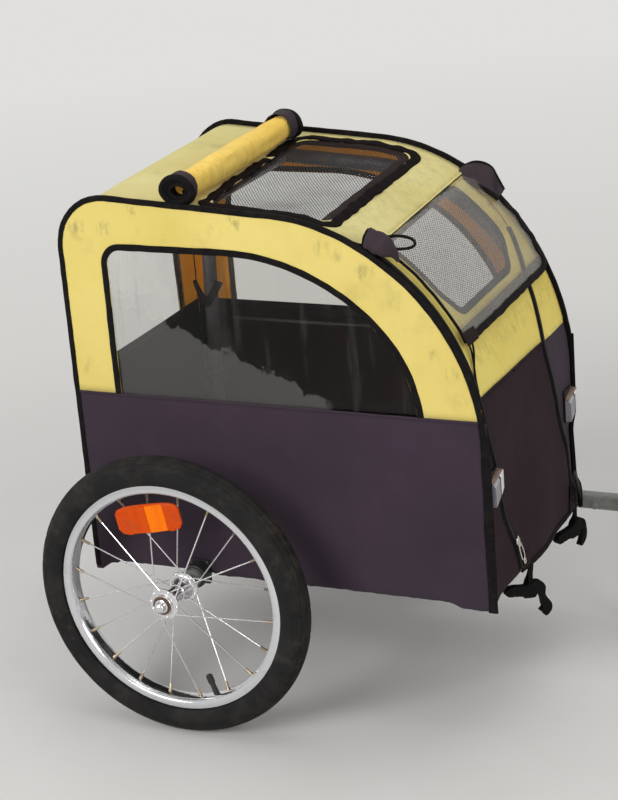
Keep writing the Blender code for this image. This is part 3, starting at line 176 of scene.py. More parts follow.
# Tow gear
ARM_V = 0.200
ARM_H = 0.183
ARM_R = 0.0125
ARM_WALL = 0.002
SOCKET_TUBE_REAR_U = 0.090
CROSS_BOLT_U = 0.432
HINGE_U = 0.530
FORK_W = 0.028
FORK_TALL = 0.032
FORK_BACK = 0.0395
FORK_FRONT = 0.020
SLOT_BACK = 0.022
TONGUE_T = 0.0165
TONGUE_W = 0.025
HINGE_HOLE_R = 0.0054
KNOB_R = 0.017
KNOB_LOBES = 5
KNOB_WAVE = 0.12
ARM_START = 0.030
ARM_STRAIGHT = 0.090
ARM_BEND_R = 0.120
ARM_BEND = math.radians(35)
ARM_RISE = 0.140
ARM_END = 0.030
EYE_REACH = 0.018
EYE_R = 0.012
EYE_T = 0.016
EYE_HOLE_R = 0.0044
CLAW_T = 0.004
CLAW_W = 0.026
CLAW_THROAT = 0.0155
JAW_GAP = 0.018
JAW_LEN = 0.034
HITCH_PIN_SET = 0.020
LEG_U = 0.480
LEG_PIVOT_DROP = 0.030
LEG_R = 0.009
LEG_TOP = 0.006
LEG_RAKE = math.radians(5)
FOOT_R = 0.0145
FOOT_T = 0.012

# Cloth
WAIST_SIDE_H = 0.437
WAIST_REAR_H = 0.456
INNER_HEM_H = 0.459
WAIST_RIGHT_H = 0.461
WAIST_LEFT_H = 0.454
LEAN = 0.048
LEAN_START_H = 0.45
LEAN_END_H = 0.68
SIDE_BULGE = 0.008
TAPE_W = 0.0080
CORNER_PULL = 0.018
NET_PITCH = 0.0037
CLOTH_CELL = 0.009
CLOTH_T = 0.0008
VINYL_T = 0.0006

SIDES = ((-1, "right"), (1, "left"))
SHARP_EDGE = math.radians(38)
FORWARD = Vector((1, 0, 0))
LEFTWARD = Vector((0, 1, 0))
UPWARD = Vector((0, 0, 1))
AXLE_H = WHEEL_R
RAIL_H = AXLE_H + BEAM_W / 2 + RAIL_R + GAP
RAIL_TOP_H = RAIL_H + RAIL_R + GAP
SKIN_V = CABIN_V - PANEL_T - GAP
HITCH_H = ARM_H + ARM_RISE
ARM_BEND_RUN = (2 * ARM_BEND_R * math.sin(ARM_BEND)
                + (ARM_RISE - 2 * ARM_BEND_R * (1 - math.cos(ARM_BEND))) / math.tan(ARM_BEND))
ARM_TIP_U = HINGE_U + ARM_START + ARM_STRAIGHT + ARM_BEND_RUN + ARM_END
EYE_U = ARM_TIP_U + EYE_REACH
LEG_PIVOT_H = ARM_H - LEG_PIVOT_DROP


def point(u, v, h):
    return Vector((u + AXLE_X, v, h))


def smooth(t):
    t = min(max(t, 0.0), 1.0)
    return t * t * (3 - 2 * t)


def ripple(a, b, scale, seed):
    return noise.noise(Vector((a * scale, b * scale, seed)))


def circle(count):
    """The angles of a whole turn in equal steps."""
    return [2 * math.pi * k / count for k in range(count)]


# Camera
view_data = bpy.data.cameras.new("camera")
view_data.sensor_width = 36
view_data.lens = 96.75
view_data.clip_end = 50
camera = bpy.data.objects.new("camera", view_data)
camera_right = Vector((0.91005, 0.40718, -0.07750))
camera_down = Vector((0.07253, -0.34053, -0.93743))
camera_forward = Vector((-0.40810, 0.84749, -0.33943))
turn = Matrix((camera_right, -camera_down, -camera_forward)).transposed()
camera.matrix_world = Matrix.Translation(point(1.28484, -2.47190, 1.36959)) @ turn.to_4x4()
scene.collection.objects.link(camera)
scene.camera = camera
scene.view_settings.view_transform = "Standard"


# Materials

def srgb(red, green, blue):
    """A linear colour from values out of 255."""
    def linear(value):
        value /= 255
        return value / 12.92 if value <= 0.04045 else ((value + 0.055) / 1.055) ** 2.4
    return linear(red), linear(green), linear(blue), 1.0


def node(tree, kind, inputs=None, **settings):
    made = tree.nodes.new("ShaderNode" + kind)
    for name, value in settings.items():
        setattr(made, name, value)
    for name, value in (inputs or {}).items():
        if isinstance(value, bpy.types.NodeSocket):
            tree.links.new(value, made.inputs[name])
        else:
            made.inputs[name].default_value = value
    return made


def start_look(name, slot, **inputs):
    """A new material, its node tree and its Principled shader."""
    material = bpy.data.materials.new(name)
    material.use_nodes = True
    material["slot"] = slot
    tree = material.node_tree
    shader = tree.nodes["Principled BSDF"]
    for key, value in inputs.items():
        shader.inputs[key.replace("_", " ").title().replace("Ior", "IOR")].default_value = value
    return material, tree, shader


def mapped(tree, vector, **inputs):
    made = node(tree, "Mapping", {"Vector": vector, **{key.title(): value for key, value in inputs.items()}})
    return made.outputs["Vector"]


def place_vector(tree):
    return mapped(tree, node(tree, "TexCoord").outputs["Object"])


def ramp(tree, value, low=0.0, high=1.0, to_low=0.0, to_high=1.0, kind="LINEAR"):
    """Stretches a value so that low to high runs from to_low to to_high."""
    made = node(tree, "MapRange", {"Value": value, "From Min": low, "From Max": high, "To Min": to_low,
                                   "To Max": to_high}, interpolation_type=kind)
    return made.outputs["Result"]


def cloudy(tree, vector, scale, low=0.35, high=0.65, detail=4.0, rough=0.55, to_low=0.0, to_high=1.0):
    """Noise stretched to run between two values."""
    clouds = node(tree, "TexNoise", {"Vector": vector, "Scale": scale, "Detail": detail, "Roughness": rough})
    return ramp(tree, clouds.outputs["Fac"], low, high, to_low, to_high)


def bands(tree, scale, distortion, direction):
    made = node(tree, "TexWave", {"Vector": node(tree, "UVMap").outputs["UV"], "Scale": scale,
                                  "Distortion": distortion}, wave_type="BANDS", bands_direction=direction)
    return made.outputs["Fac"]


def cells(tree, vector, scale, randomness=1.0):
    made = node(tree, "TexVoronoi", {"Vector": vector, "Scale": scale, "Randomness": randomness},
                feature="F1")
    return made.outputs["Distance"]


def maths(tree, operation, first, second=0.0):
    return node(tree, "Math", {0: first, 1: second}, operation=operation).outputs["Value"]


def blend_colours(tree, share, first, second, kind="MIX"):
    made = node(tree, "Mix", {0: share, 6: first, 7: second}, data_type="RGBA", blend_type=kind)
    return made.outputs[2]


def mix_shaders(tree, share, first, second, output="Material Output"):
    """Mixes two shaders and joins them to the output, if one is named."""
    mixed = node(tree, "MixShader", {0: share, 1: first.outputs[0], 2: second.outputs[0]})
    if output:
        tree.links.new(mixed.outputs[0], tree.nodes[output].inputs["Surface"])
    return mixed


def bump(tree, height, distance, strength, under=None):
    inputs = {"Height": height, "Distance": distance, "Strength": strength}
    if under is not None:
        inputs["Normal"] = under
    return node(tree, "Bump", inputs).outputs["Normal"]


def drive(tree, shader, **inputs):
    """Feeds a shader's inputs from other nodes."""
    for key, value in inputs.items():
        tree.links.new(value, shader.inputs[key.replace("_", " ").title()])


def smudge(tree, spot, radius, strength, vector):
    """A soft grimy patch round a point."""
    u, h = spot
    away = node(tree, "VectorMath", {0: vector, 1: (u + AXLE_X, 0, h)}, operation="DISTANCE").outputs["Value"]
    return ramp(tree, away, radius, radius * 0.25, 0.0, strength, "SMOOTHSTEP")


def fabric(name, slot, colour, shade, grime, smudges=(), roughness=0.78, grime_share=0.35, sheen=0.05,
           gloss=0.25, relief_share=1.0, glow=0.0):
    """Woven polyester: two threads, uneven dye, creases and grime. A glow above zero is painted light."""
    material, tree, shader = start_look(
        name, slot, roughness=roughness, sheen_weight=sheen, sheen_roughness=0.5, specular_ior_level=gloss,
        emission_color=colour, emission_strength=glow)
    where = place_vector(tree)
    threads = maths(tree, "MULTIPLY", bands(tree, 520.0, 0.3, "X"), bands(tree, 520.0, 0.3, "Y"))
    tint = blend_colours(tree, cloudy(tree, where, 7.0, 0.3, 0.7), colour, shade)
    tint = blend_colours(tree, cloudy(tree, where, 55.0, 0.42, 0.72, to_high=0.22), tint, shade)
    dirt = cloudy(tree, where, 16.0, 0.56, 0.80, detail=8.0, to_high=grime_share)
    flat = mapped(tree, where, scale=(1, 0, 1))
    brushed = mapped(tree, where, rotation=(0, 0.6, 0), scale=(1, 1, 0.4))
    breaks = cloudy(tree, brushed, 110.0, 0.46, 0.66, detail=7.0, rough=0.7)
    for spot, radius, strength in smudges:
        mark = maths(tree, "MULTIPLY", smudge(tree, spot, radius, strength, flat), breaks)
        dirt = maths(tree, "MAXIMUM", dirt, mark)
    tint = blend_colours(tree, dirt, tint, grime)
    tint = blend_colours(tree, ramp(tree, threads, to_low=0.16, to_high=0.0), tint, shade, "MULTIPLY")
    creases = bump(tree, cloudy(tree, where, 22.0, 0.2, 0.8, detail=3.0), 0.0016 * relief_share, 0.55)
    drive(tree, shader, base_color=tint, roughness=ramp(tree, dirt, to_low=roughness, to_high=0.92),
          normal=bump(tree, threads, 0.00018 * relief_share, 0.7, creases))
    return material


SIDE_SMUDGES = (
    ((-0.129, 0.659), 0.020, 0.60), ((-0.092, 0.663), 0.016, 0.55), ((-0.047, 0.691), 0.013, 0.70),
    ((0.068, 0.664), 0.016, 0.50), ((0.095, 0.678), 0.015, 0.75), ((0.046, 0.655), 0.014, 0.45),
    ((0.213, 0.650), 0.016, 0.45), ((0.268, 0.622), 0.018, 0.55), ((0.374, 0.497), 0.014, 0.5),
    ((0.384, 0.466), 0.014, 0.5), ((-0.138, 0.473), 0.018, 0.35), ((0.234, 0.643), 0.014, 0.4),
    ((0.305, 0.585), 0.016, 0.35), ((0.352, 0.520), 0.012, 0.45),
)
GRIME = srgb(122, 116, 82)
yellow = fabric("yellow_cloth", "yellow_fabric", srgb(231, 213, 128), srgb(220, 200, 110), GRIME,
                SIDE_SMUDGES)
front_yellow = fabric("front_yellow_cloth", "yellow_fabric", srgb(245, 231, 136), srgb(235, 213, 108), GRIME,
                      (((0.391, 0.505), 0.02, 0.3), ((0.33, 0.60), 0.02, 0.3)), relief_share=0.4)
# The gold lining glows a little: painted light standing in for light coming through the thin yellow cloth.
gold_inside = fabric("gold_lining", "gold_fabric", srgb(232, 158, 22), srgb(206, 130, 14), srgb(130, 84, 12),
                     glow=0.16, gloss=0.1)
# The roof has its own paler, duller copy of the yellow: partly grime, partly painted light for how light
# falls on the top.
roof_cloth = fabric("roof_cloth", "roof_fabric", srgb(230, 220, 156), srgb(218, 204, 132), GRIME,
                    (((0.02, 0.72), 0.05, 0.3), ((0.24, 0.69), 0.05, 0.25)))
# The roll has a lighter copy of the yellow with a faint glow: painted light, as the roll lies in shade.
roll_cloth_lit = fabric("roll_cloth_lit", "gold_fabric", srgb(252, 222, 116), srgb(244, 200, 78), srgb(166, 134, 70),
                    (((0.03, 0.72), 0.03, 0.3),), roughness=0.6, glow=0.05)
violet = fabric("violet_cloth", "dark_fabric", srgb(64, 51, 63), srgb(54, 43, 55), srgb(86, 76, 78),
                grime_share=0.16, gloss=0.15)
# A darker copy of the violet for the front: painted shade, as the front gets less light than the sides.
front_violet_shaded = fabric("front_violet_cloth", "dark_fabric", srgb(54, 39, 44), srgb(44, 31, 36),
                      srgb(74, 62, 62), grime_share=0.14, sheen=0.02, gloss=0.06)
black_lining = fabric("black_lining", "dark_fabric", srgb(24, 17, 17), srgb(18, 12, 12), srgb(36, 25, 23),
                      grime_share=0.2, sheen=0.0, gloss=0.05, relief_share=0.3)
spotted_lining = fabric("spotted_lining", "dark_fabric", srgb(22, 15, 15), srgb(17, 11, 11), srgb(84, 28, 15),
                        (((0.220, 0.500), 0.030, 0.9), ((0.261, 0.470), 0.032, 0.9),
                         ((0.296, 0.500), 0.026, 0.9), ((0.247, 0.400), 0.030, 0.9),
                         ((0.307, 0.430), 0.030, 0.8)),
                        grime_share=0.3, sheen=0.0, gloss=0.05, relief_share=0.3)
strap_violet = fabric("strap_cloth", "dark_fabric", srgb(66, 55, 61), srgb(54, 44, 49), srgb(86, 77, 75),
                      gloss=0.12)
border_cloth = fabric("border_cloth", "dark_fabric", srgb(46, 35, 33), srgb(32, 25, 25), srgb(78, 60, 48),
                      grime_share=0.5, sheen=0.0, gloss=0.1, relief_share=0.6)


def make_tape_look():
    material, tree, shader = start_look("black_tape", "black_plastic", specular_ior_level=0.12)
    ribs = bands(tree, 160.0, 1.0, "X")
    where = place_vector(tree)
    tint = blend_colours(tree, cloudy(tree, where, 90.0, 0.50, 0.78), srgb(15, 13, 13), srgb(33, 28, 27))
    soft = bump(tree, cloudy(tree, where, 120.0, 0.3, 0.7), 0.0009, 0.6)
    drive(tree, shader, base_color=tint,
          roughness=cloudy(tree, where, 60.0, 0.3, 0.7, to_low=0.7, to_high=0.9),
          normal=bump(tree, ribs, 0.0003, 0.8, soft))
    return material


def make_thread_look():
    material, tree, shader = start_look("net_thread", "black_net", roughness=0.75)
    where = place_vector(tree)
    tint = blend_colours(tree, cloudy(tree, where, 30.0, 0.4, 0.7), srgb(30, 28, 28), srgb(58, 52, 50))
    drive(tree, shader, base_color=tint,
          normal=bump(tree, cloudy(tree, where, 3000.0, 0.3, 0.7), 0.0001, 0.6))
    return material


def make_vinyl(name, haze_low, haze_high, streak_share, painted_reflection=False, tone=(168, 166, 164)):
    """Clear film: shine at a slant, milky scuffs and creases, and where asked a pale patch painted on as a
    reflection. The rest shows what is behind.
    """
    material, tree, shader = start_look(name, "clear_vinyl")
    where = place_vector(tree)
    tree.nodes.remove(shader)
    clear = node(tree, "BsdfTransparent", {"Color": (0.97, 0.97, 0.96, 1)})
    gloss = node(tree, "BsdfGlossy", {"Color": (0.9, 0.9, 0.9, 1), "Roughness": 0.07})
    scuff_and_reflection_film = node(tree, "BsdfPrincipled", {"Base Color": srgb(*tone), "Roughness": 0.45})
    facing = node(tree, "LayerWeight", {"Blend": 0.5}).outputs["Facing"]
    slant = maths(tree, "ADD", maths(tree, "MULTIPLY", maths(tree, "POWER", facing, 4.0), 0.5), 0.010)
    sheet = mix_shaders(tree, slant, clear, gloss, "")
    streaked = mapped(tree, where, rotation=(0, math.radians(42), 0), scale=(1, 1, 0.12))
    streaks = cloudy(tree, streaked, 55.0, 0.56, 0.78, detail=5.0, to_high=streak_share)
    haze = cloudy(tree, where, 9.0, 0.35, 0.75, to_low=haze_low, to_high=haze_high)
    dots = ramp(tree, cells(tree, where, 90.0), 0.055, 0.03, 0.0, 0.5)
    rare = cloudy(tree, where, 25.0, 0.55, 0.6)
    share = maths(tree, "MAXIMUM", maths(tree, "ADD", streaks, haze), maths(tree, "MULTIPLY", dots, rare))
    # The painted reflection patch uses the milky film's look.
    if painted_reflection:
        share = maths(tree, "MAXIMUM", share, reflection_patch(tree, where))
    mix_shaders(tree, share, sheet, scuff_and_reflection_film)
    wrinkled = bump(tree, cloudy(tree, where, 18.0, 0.2, 0.8, detail=3.0), 0.004, 0.5)
    for part in (gloss, scuff_and_reflection_film):
        drive(tree, part, normal=wrinkled)
    return material


def reflection_patch(tree, where):
    """A pale patch painted on the lower rear of the side windows as the studio's reflection, with a ragged
    upper edge that falls towards the front.
    """
    parts = node(tree, "SeparateXYZ", {"Vector": where})
    x, z = parts.outputs["X"], parts.outputs["Z"]
    ragged = cloudy(tree, mapped(tree, where, scale=(1, 0, 1)), 38.0, 0.2, 0.8, detail=8.0, rough=0.65,
                    to_low=-0.022, to_high=0.022)
    falling = maths(tree, "MULTIPLY", maths(tree, "SUBTRACT", x, AXLE_X + 0.09), -0.42)
    edge = maths(tree, "ADD", maths(tree, "ADD", falling, 0.497), ragged)
    share = ramp(tree, maths(tree, "SUBTRACT", edge, z), 0.0, 0.0015, 0.0, 0.085)
    return maths(tree, "MULTIPLY", share, ramp(tree, x, AXLE_X + 0.212, AXLE_X + 0.200))


def make_metal(name, slot, colour, roughness, worn_colour, worn_share, fine=60.0):
    material, tree, shader = start_look(name, slot, metallic=1.0)
    where = place_vector(tree)
    worn = cloudy(tree, where, fine, 0.58, 0.80, detail=8.0, to_high=worn_share)
    rough = cloudy(tree, where, fine * 0.6, 0.3, 0.7, to_low=roughness * 0.7, to_high=roughness * 1.6)
    drive(tree, shader, base_color=blend_colours(tree, worn, colour, worn_colour),
          roughness=maths(tree, "ADD", rough, maths(tree, "MULTIPLY", worn, 0.4)),
          normal=bump(tree, cloudy(tree, where, fine * 4, 0.3, 0.7), 0.0002, 0.5))
    return material


def make_plain(name, slot, colour, other, roughness, fine=80.0, coat=0.0, gloss=0.5):
    """Moulded plastic, rubber or paint with an uneven, handled surface."""
    material, tree, shader = start_look(name, slot, coat_weight=coat, specular_ior_level=gloss)
    where = place_vector(tree)
    worn = cloudy(tree, where, fine, 0.48, 0.78, detail=6.0)
    rough = cloudy(tree, where, fine * 0.5, 0.3, 0.7, to_low=roughness - 0.08,
                   to_high=min(roughness + 0.12, 1.0))
    drive(tree, shader, base_color=blend_colours(tree, worn, colour, other), roughness=rough,
          normal=bump(tree, cloudy(tree, where, fine * 12, 0.3, 0.7), 0.0003, 0.5))
    return material


def make_tyre_look():
    material, tree, shader = start_look("tyre_rubber", "tyre", specular_ior_level=0.22)
    where = place_vector(tree)
    dust = cloudy(tree, where, 34.0, 0.46, 0.74, detail=9.0, rough=0.68)
    mud = cloudy(tree, where, 11.0, 0.56, 0.74, detail=8.0, to_high=0.8)
    tint = blend_colours(tree, maths(tree, "MULTIPLY", dust, 0.55), srgb(20, 19, 19), srgb(54, 50, 46))
    tint = blend_colours(tree, maths(tree, "MULTIPLY", dust, mud), tint, srgb(106, 90, 70))
    drive(tree, shader, base_color=tint,
          roughness=cloudy(tree, where, 25.0, 0.3, 0.7, to_low=0.62, to_high=0.86),
          normal=bump(tree, cloudy(tree, where, 900.0, 0.3, 0.7), 0.0003, 0.8))
    return material


def make_lens(name, slot, colour, deep, roughness, gloss=0.3, metallic=0.0):
    """Moulded reflector lens with a fine cube-corner pattern behind its face."""
    material, tree, shader = start_look(name, slot, roughness=roughness, metallic=metallic,
                                        specular_ior_level=gloss)
    where = place_vector(tree)
    pattern = cells(tree, where, 420.0, 0.15)
    tint = blend_colours(tree, pattern, colour, deep)
    tint = blend_colours(tree, cloudy(tree, where, 60.0, 0.5, 0.8, to_high=0.3), tint, srgb(92, 80, 66))
    drive(tree, shader, base_color=tint, normal=bump(tree, pattern, 0.0006, 0.9))
    return material


tape = make_tape_look()
thread = make_thread_look()
# The side panes carry a painted reflection patch.
side_vinyl = make_vinyl("side_vinyl", 0.0, 0.005, 0.05, painted_reflection=True)
cover_vinyl = make_vinyl("cover_vinyl", 0.12, 0.20, 0.12, tone=(158, 153, 148))
rear_vinyl = make_vinyl("rear_vinyl", 0.01, 0.05, 0.08)
smoky_vinyl = make_vinyl("smoky_vinyl", 0.55, 0.68, 0.10, tone=(54, 47, 48))
tyre_look = make_tyre_look()
chrome = make_metal("chrome_rim", "chrome", (0.68, 0.69, 0.71, 1), 0.10, srgb(120, 110, 98), 0.35, 45.0)
spoke_look = make_metal("spoke_wire", "spoke_steel", (0.72, 0.72, 0.72, 1), 0.22, srgb(130, 118, 104), 0.4)
hub_look = make_metal("hub_shell", "spoke_steel", (0.74, 0.74, 0.75, 1), 0.18, srgb(110, 98, 84), 0.5, 110.0)
brass = make_metal("nipple_brass", "spoke_steel", srgb(176, 160, 136), 0.3, srgb(112, 88, 66), 0.8, 160.0)
rusty = make_metal("rusty_steel", "bearing_steel", srgb(116, 96, 80), 0.4, srgb(82, 48, 32), 1.0, 220.0)
bright_steel = make_metal("bright_steel", "bearing_steel", (0.72, 0.72, 0.72, 1), 0.16, srgb(120, 112, 104),
                          0.3)
pull_metal = make_metal("pull_metal", "black_plastic", srgb(206, 202, 196), 0.22, srgb(120, 108, 96), 0.5,
                        150.0)
grey_paint = make_plain("grey_paint", "frame_grey", srgb(126, 127, 123), srgb(98, 98, 94), 0.42, coat=0.15)
# A darker copy of the grey frame paint for the hoops inside the cabin: painted shade.
shaded_hoop_paint = make_plain("shaded_hoop_paint", "frame_grey", srgb(84, 82, 86), srgb(64, 62, 66), 0.5)
black_paint = make_plain("black_paint", "black_steel", srgb(30, 30, 30), srgb(58, 54, 50), 0.45, coat=0.1)
black_moulding = make_plain("black_moulding", "black_plastic", srgb(20, 20, 20), srgb(40, 38, 36), 0.45,
                            gloss=0.3)
hook_plastic = make_plain("hook_plastic", "black_plastic", srgb(12, 11, 11), srgb(26, 24, 23), 0.6, gloss=0.1)
board_look = make_plain("board_plastic", "floor_board", srgb(44, 44, 46), srgb(66, 62, 58), 0.7, fine=20.0)
tube_rubber = make_plain("tube_rubber", "butyl", srgb(26, 26, 26), srgb(46, 44, 42), 0.6)
orange_lens = make_lens("orange_lens", "orange_lens", srgb(222, 84, 0), srgb(178, 52, 0), 0.45, 0.12)
# A paler copy of the orange lens for the wheel reflector's right face: painted light.
lit_amber_lens = make_lens("lit_amber_lens", "orange_lens", srgb(250, 132, 0), srgb(226, 92, 0), 0.4, 0.12)
silver_lens = make_lens("silver_lens", "clear_lens", srgb(196, 197, 204), srgb(128, 128, 134), 0.3,
                        metallic=0.4)
# Lit and shaded copies of the lamp lens: a painted highlight, painted shade for its ridge and brown painted
# shade for its top chamfer.
highlight_lens = make_lens("highlight_lens", "clear_lens", srgb(250, 250, 248), srgb(214, 212, 208), 0.2, 0.6)
shaded_ridge_lens = make_lens("shaded_ridge_lens", "clear_lens", srgb(92, 90, 90), srgb(52, 50, 50), 0.3)
shaded_top_lens = make_lens("shaded_top_lens", "clear_lens", srgb(150, 128, 112), srgb(84, 68, 58), 0.3, 0.4)


# Shapes

def finished(name, shape, looks, body, replaces=(), bevel=0.0):
    """Adds a finished mesh that rides on a body. Its first look names its slot in the record."""
    mesh = bpy.data.meshes.new(name)
    shape.normal_update()
    shape.to_mesh(mesh)
    shape.free()
    mesh.shade_smooth()
    mesh.set_sharp_from_angle(angle=SHARP_EDGE)
    for look in looks:
        mesh.materials.append(look)
    made = bpy.data.objects.new(name, mesh)
    scene.collection.objects.link(made)
    if bevel:
        edge = made.modifiers.new("bevel", "BEVEL")
        edge.width = bevel
        edge.segments = 2
        edge.limit_method = "ANGLE"
        edge.angle_limit = SHARP_EDGE
        edge.harden_normals = True
    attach(made, body)
    if replaces:
        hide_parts(*replaces)
    return made


def start_shape():
    """An empty mesh and its layer of texture coordinates."""
    shape = bmesh.new()
    return shape, shape.loops.layers.uv.new("UVMap")


def add_face(shape, layer, corners, spots, index=0):
    made = shape.faces.new(corners)
    made.material_index = index
    for corner, spot in zip(made.loops, spots):
        corner[layer].uv = spot
    return made


def thicken(made, thickness, looks):
    """Thickens a sheet towards its inner side, which has the second look if there are two."""
    solid = made.modifiers.new("thickness", "SOLIDIFY")
    solid.thickness = thickness
    solid.offset = -1
    solid.material_offset = len(looks) - 1


def loft(rings, closed=False):
    """Joins rings of points. Its texture coordinates run in metres along and round it."""
    shape, layer = start_shape()
    rows = [[shape.verts.new(spot) for spot in ring] for ring in rings]
    count = len(rows[0])
    along = [0.0]
    for here, there in zip(rows, rows[1:] + rows[:1]):
        along.append(along[-1] + (there[0].co - here[0].co).length)
    round_it = [0.0]
    for i in range(count):
        round_it.append(round_it[-1] + (rows[0][(i + 1) % count].co - rows[0][i].co).length)
    for k in range(len(rows) if closed else len(rows) - 1):
        here, there = rows[k], rows[(k + 1) % len(rows)]
        for i in range(count):
            j = (i + 1) % count
            add_face(shape, layer, (here[i], here[j], there[j], there[i]),
                     ((along[k], round_it[i]), (along[k], round_it[i + 1]), (along[k + 1], round_it[i + 1]),
                      (along[k + 1], round_it[i])))
    if not closed:
        shape.faces.new(rows[0][::-1])
        shape.faces.new(rows[-1])
    bmesh.ops.recalc_face_normals(shape, faces=shape.faces)
    return shape


def together(shapes):
    """One mesh from several shapes."""
    whole = bmesh.new()
    for shape in shapes:
        scratch = bpy.data.meshes.new("scratch")
        shape.to_mesh(scratch)
        shape.free()
        whole.from_mesh(scratch)
        bpy.data.meshes.remove(scratch)
    return whole


def ring_of(centre, side, up, radius, sides):
    return [centre + side * (radius * math.cos(a)) + up * (radius * math.sin(a)) for a in circle(sides)]


def turned(start, along, stations, sides=32):
    """A solid turned about a line, from (distance, radius) stations."""
    along = along.normalized()
    side = UPWARD if abs(along.z) < 0.5 else LEFTWARD
    side = (side - along * side.dot(along)).normalized()
    up = along.cross(side)
    return loft([ring_of(start + along * reach, side, up, radius, sides) for reach, radius in stations])


def rod(start, end, radius, sides):
    return turned(start, end - start, ((0, radius), ((end - start).length, radius)), sides)


def around(line, k, closed=False):
    """The points before and after one point of a line. An open line ends at its last point."""
    if closed:
        return line[k - 1], line[(k + 1) % len(line)]
    return line[max(k - 1, 0)], line[min(k + 1, len(line) - 1)]


def carried(points, closed=False):
    """Side and up directions carried along a path without twisting."""
    frames = []
    side = None
    for k in range(len(points)):
        before, after = around(points, k, closed)
        along = (after - before).normalized()
        if side is None:
            side = along.cross(UPWARD if abs(along.z) < 0.9 else FORWARD)
        side = (side - along * side.dot(along)).normalized()
        frames.append((side, along.cross(side)))
    return frames


def cable(points, radius, sides=10, closed=False):
    """A round cord along points. radius is one number or one for each point."""
    sizes = radius if hasattr(radius, "__len__") else [radius] * len(points)
    return loft([ring_of(spot, side, up, size, sides)
                 for spot, (side, up), size in zip(points, carried(points, closed), sizes)], closed)


def pipe(points, radius, wall, sides=32):
    """A hollow tube with open ends."""
    outer, inner = [[ring_of(spot, side, up, size, sides)
                     for spot, (side, up) in zip(points, carried(points))]
                    for size in (radius, radius - wall)]
    return loft(outer + inner[::-1], closed=True)


def curve_through(points, steps):
    """A smooth line through points, with a number of steps for each stretch."""
    padded = [points[0] * 2 - points[1]] + list(points) + [points[-1] * 2 - points[-2]]
    line = []
    for k in range(1, len(padded) - 2):
        a, b, c, d = padded[k - 1:k + 3]
        for step in range(steps):
            t = step / steps
            line.append(0.5 * (2 * b + (c - a) * t + (2 * a - 5 * b + 4 * c - d) * t ** 2
                               + (3 * b - a - 3 * c + d) * t ** 3))
    line.append(Vector(points[-1]))
    return line


def arc(centre, radius, start, end, steps):
    angles = (start + (end - start) * k / steps for k in range(steps + 1))
    return [(centre[0] + radius * math.cos(a), centre[1] + radius * math.sin(a)) for a in angles]


def rounded(low, high, radius, steps=6):
    (a, b), (c, d) = low, high
    spots = []
    for k, centre in enumerate(((c - radius, b + radius), (c - radius, d - radius), (a + radius, d - radius),
                                (a + radius, b + radius))):
        spots += arc(centre, radius, math.pi / 2 * (k - 1), math.pi / 2 * k, steps)
    return spots


def block(low, high):
    (a, b, c), (d, e, f) = low, high
    lower = [point(u, v, c) for u, v in ((a, b), (d, b), (d, e), (a, e))]
    return loft([lower, [spot + UPWARD * (f - c) for spot in lower]])


# Flat patterns

def spread(line, step, closed=True):
    """The same line with a point at least every step."""
    spots = []
    for here, there in zip(line, line[1:] + line[:1] if closed else line[1:]):
        count = max(1, math.ceil(math.dist(here, there) / step))
        spots += [(here[0] + (there[0] - here[0]) * i / count, here[1] + (there[1] - here[1]) * i / count)
                  for i in range(count)]
    return spots if closed else spots + [line[-1]]


def extent(loop):
    """The least and greatest of both coordinates of a flat outline."""
    first, second = zip(*loop)
    return min(first), max(first), min(second), max(second)


def inside(spot, loop):
    a, b = spot
    within = False
    for k, (x1, y1) in enumerate(loop):
        x2, y2 = loop[k - 1]
        if (y1 > b) != (y2 > b) and a < (x2 - x1) * (b - y1) / (y2 - y1) + x1:
            within = not within
    return within


def cut_cloth(outer, holes, step):
    """Triangles over a flat pattern with holes, with a point about every step."""
    loops = [spread(loop, step) for loop in [outer] + list(holes)]
    spots = []
    edges = []
    for loop in loops:
        edges += [(len(spots) + k, len(spots) + (k + 1) % len(loop)) for k in range(len(loop))]
        spots += loop
    def on_pattern(spot):
        return inside(spot, loops[0]) and not any(inside(spot, loop) for loop in loops[1:])
    edge_tree = KDTree(len(spots))
    for k, (a, b) in enumerate(spots):
        edge_tree.insert((a, b, 0), k)
    edge_tree.balance()
    low_a, high_a, low_b, high_b = extent(outer)
    row = 0
    b = low_b + step / 2
    while b < high_b:
        a = low_a + step * (0.5 if row % 2 else 0.0)
        while a < high_a:
            if edge_tree.find((a, b, 0))[2] > 0.6 * step and on_pattern((a, b)):
                spots.append((a, b))
            a += step
        b += step * 0.87
        row += 1
    verts, _, faces = delaunay_2d_cdt([Vector(spot) for spot in spots], edges, [], 0, 1e-7, False)[:3]
    def kept(face):
        return on_pattern((sum(verts[i].x for i in face) / 3, sum(verts[i].y for i in face) / 3))
    return [(v.x, v.y) for v in verts], [face for face in faces if kept(face)]


def drop_loose(shape):
    bmesh.ops.delete(shape, geom=[vert for vert in shape.verts if not vert.link_faces], context="VERTS")


def cloth(name, outer, lay, looks, body="chassis", replaces=(), holes=(), thickness=CLOTH_T, step=CLOTH_CELL,
          flip=False):
    """A sheet cut to a flat pattern and laid in space by lay(a, b)."""
    spots, faces = cut_cloth(outer, holes, step)
    shape, layer = start_shape()
    verts = [shape.verts.new(lay(a, b)) for a, b in spots]
    for face in faces:
        order = face[::-1] if flip else face
        add_face(shape, layer, [verts[i] for i in order], [spots[i] for i in order])
    drop_loose(shape)
    made = finished(name, shape, looks, body, replaces)
    thicken(made, thickness, looks)
    return made


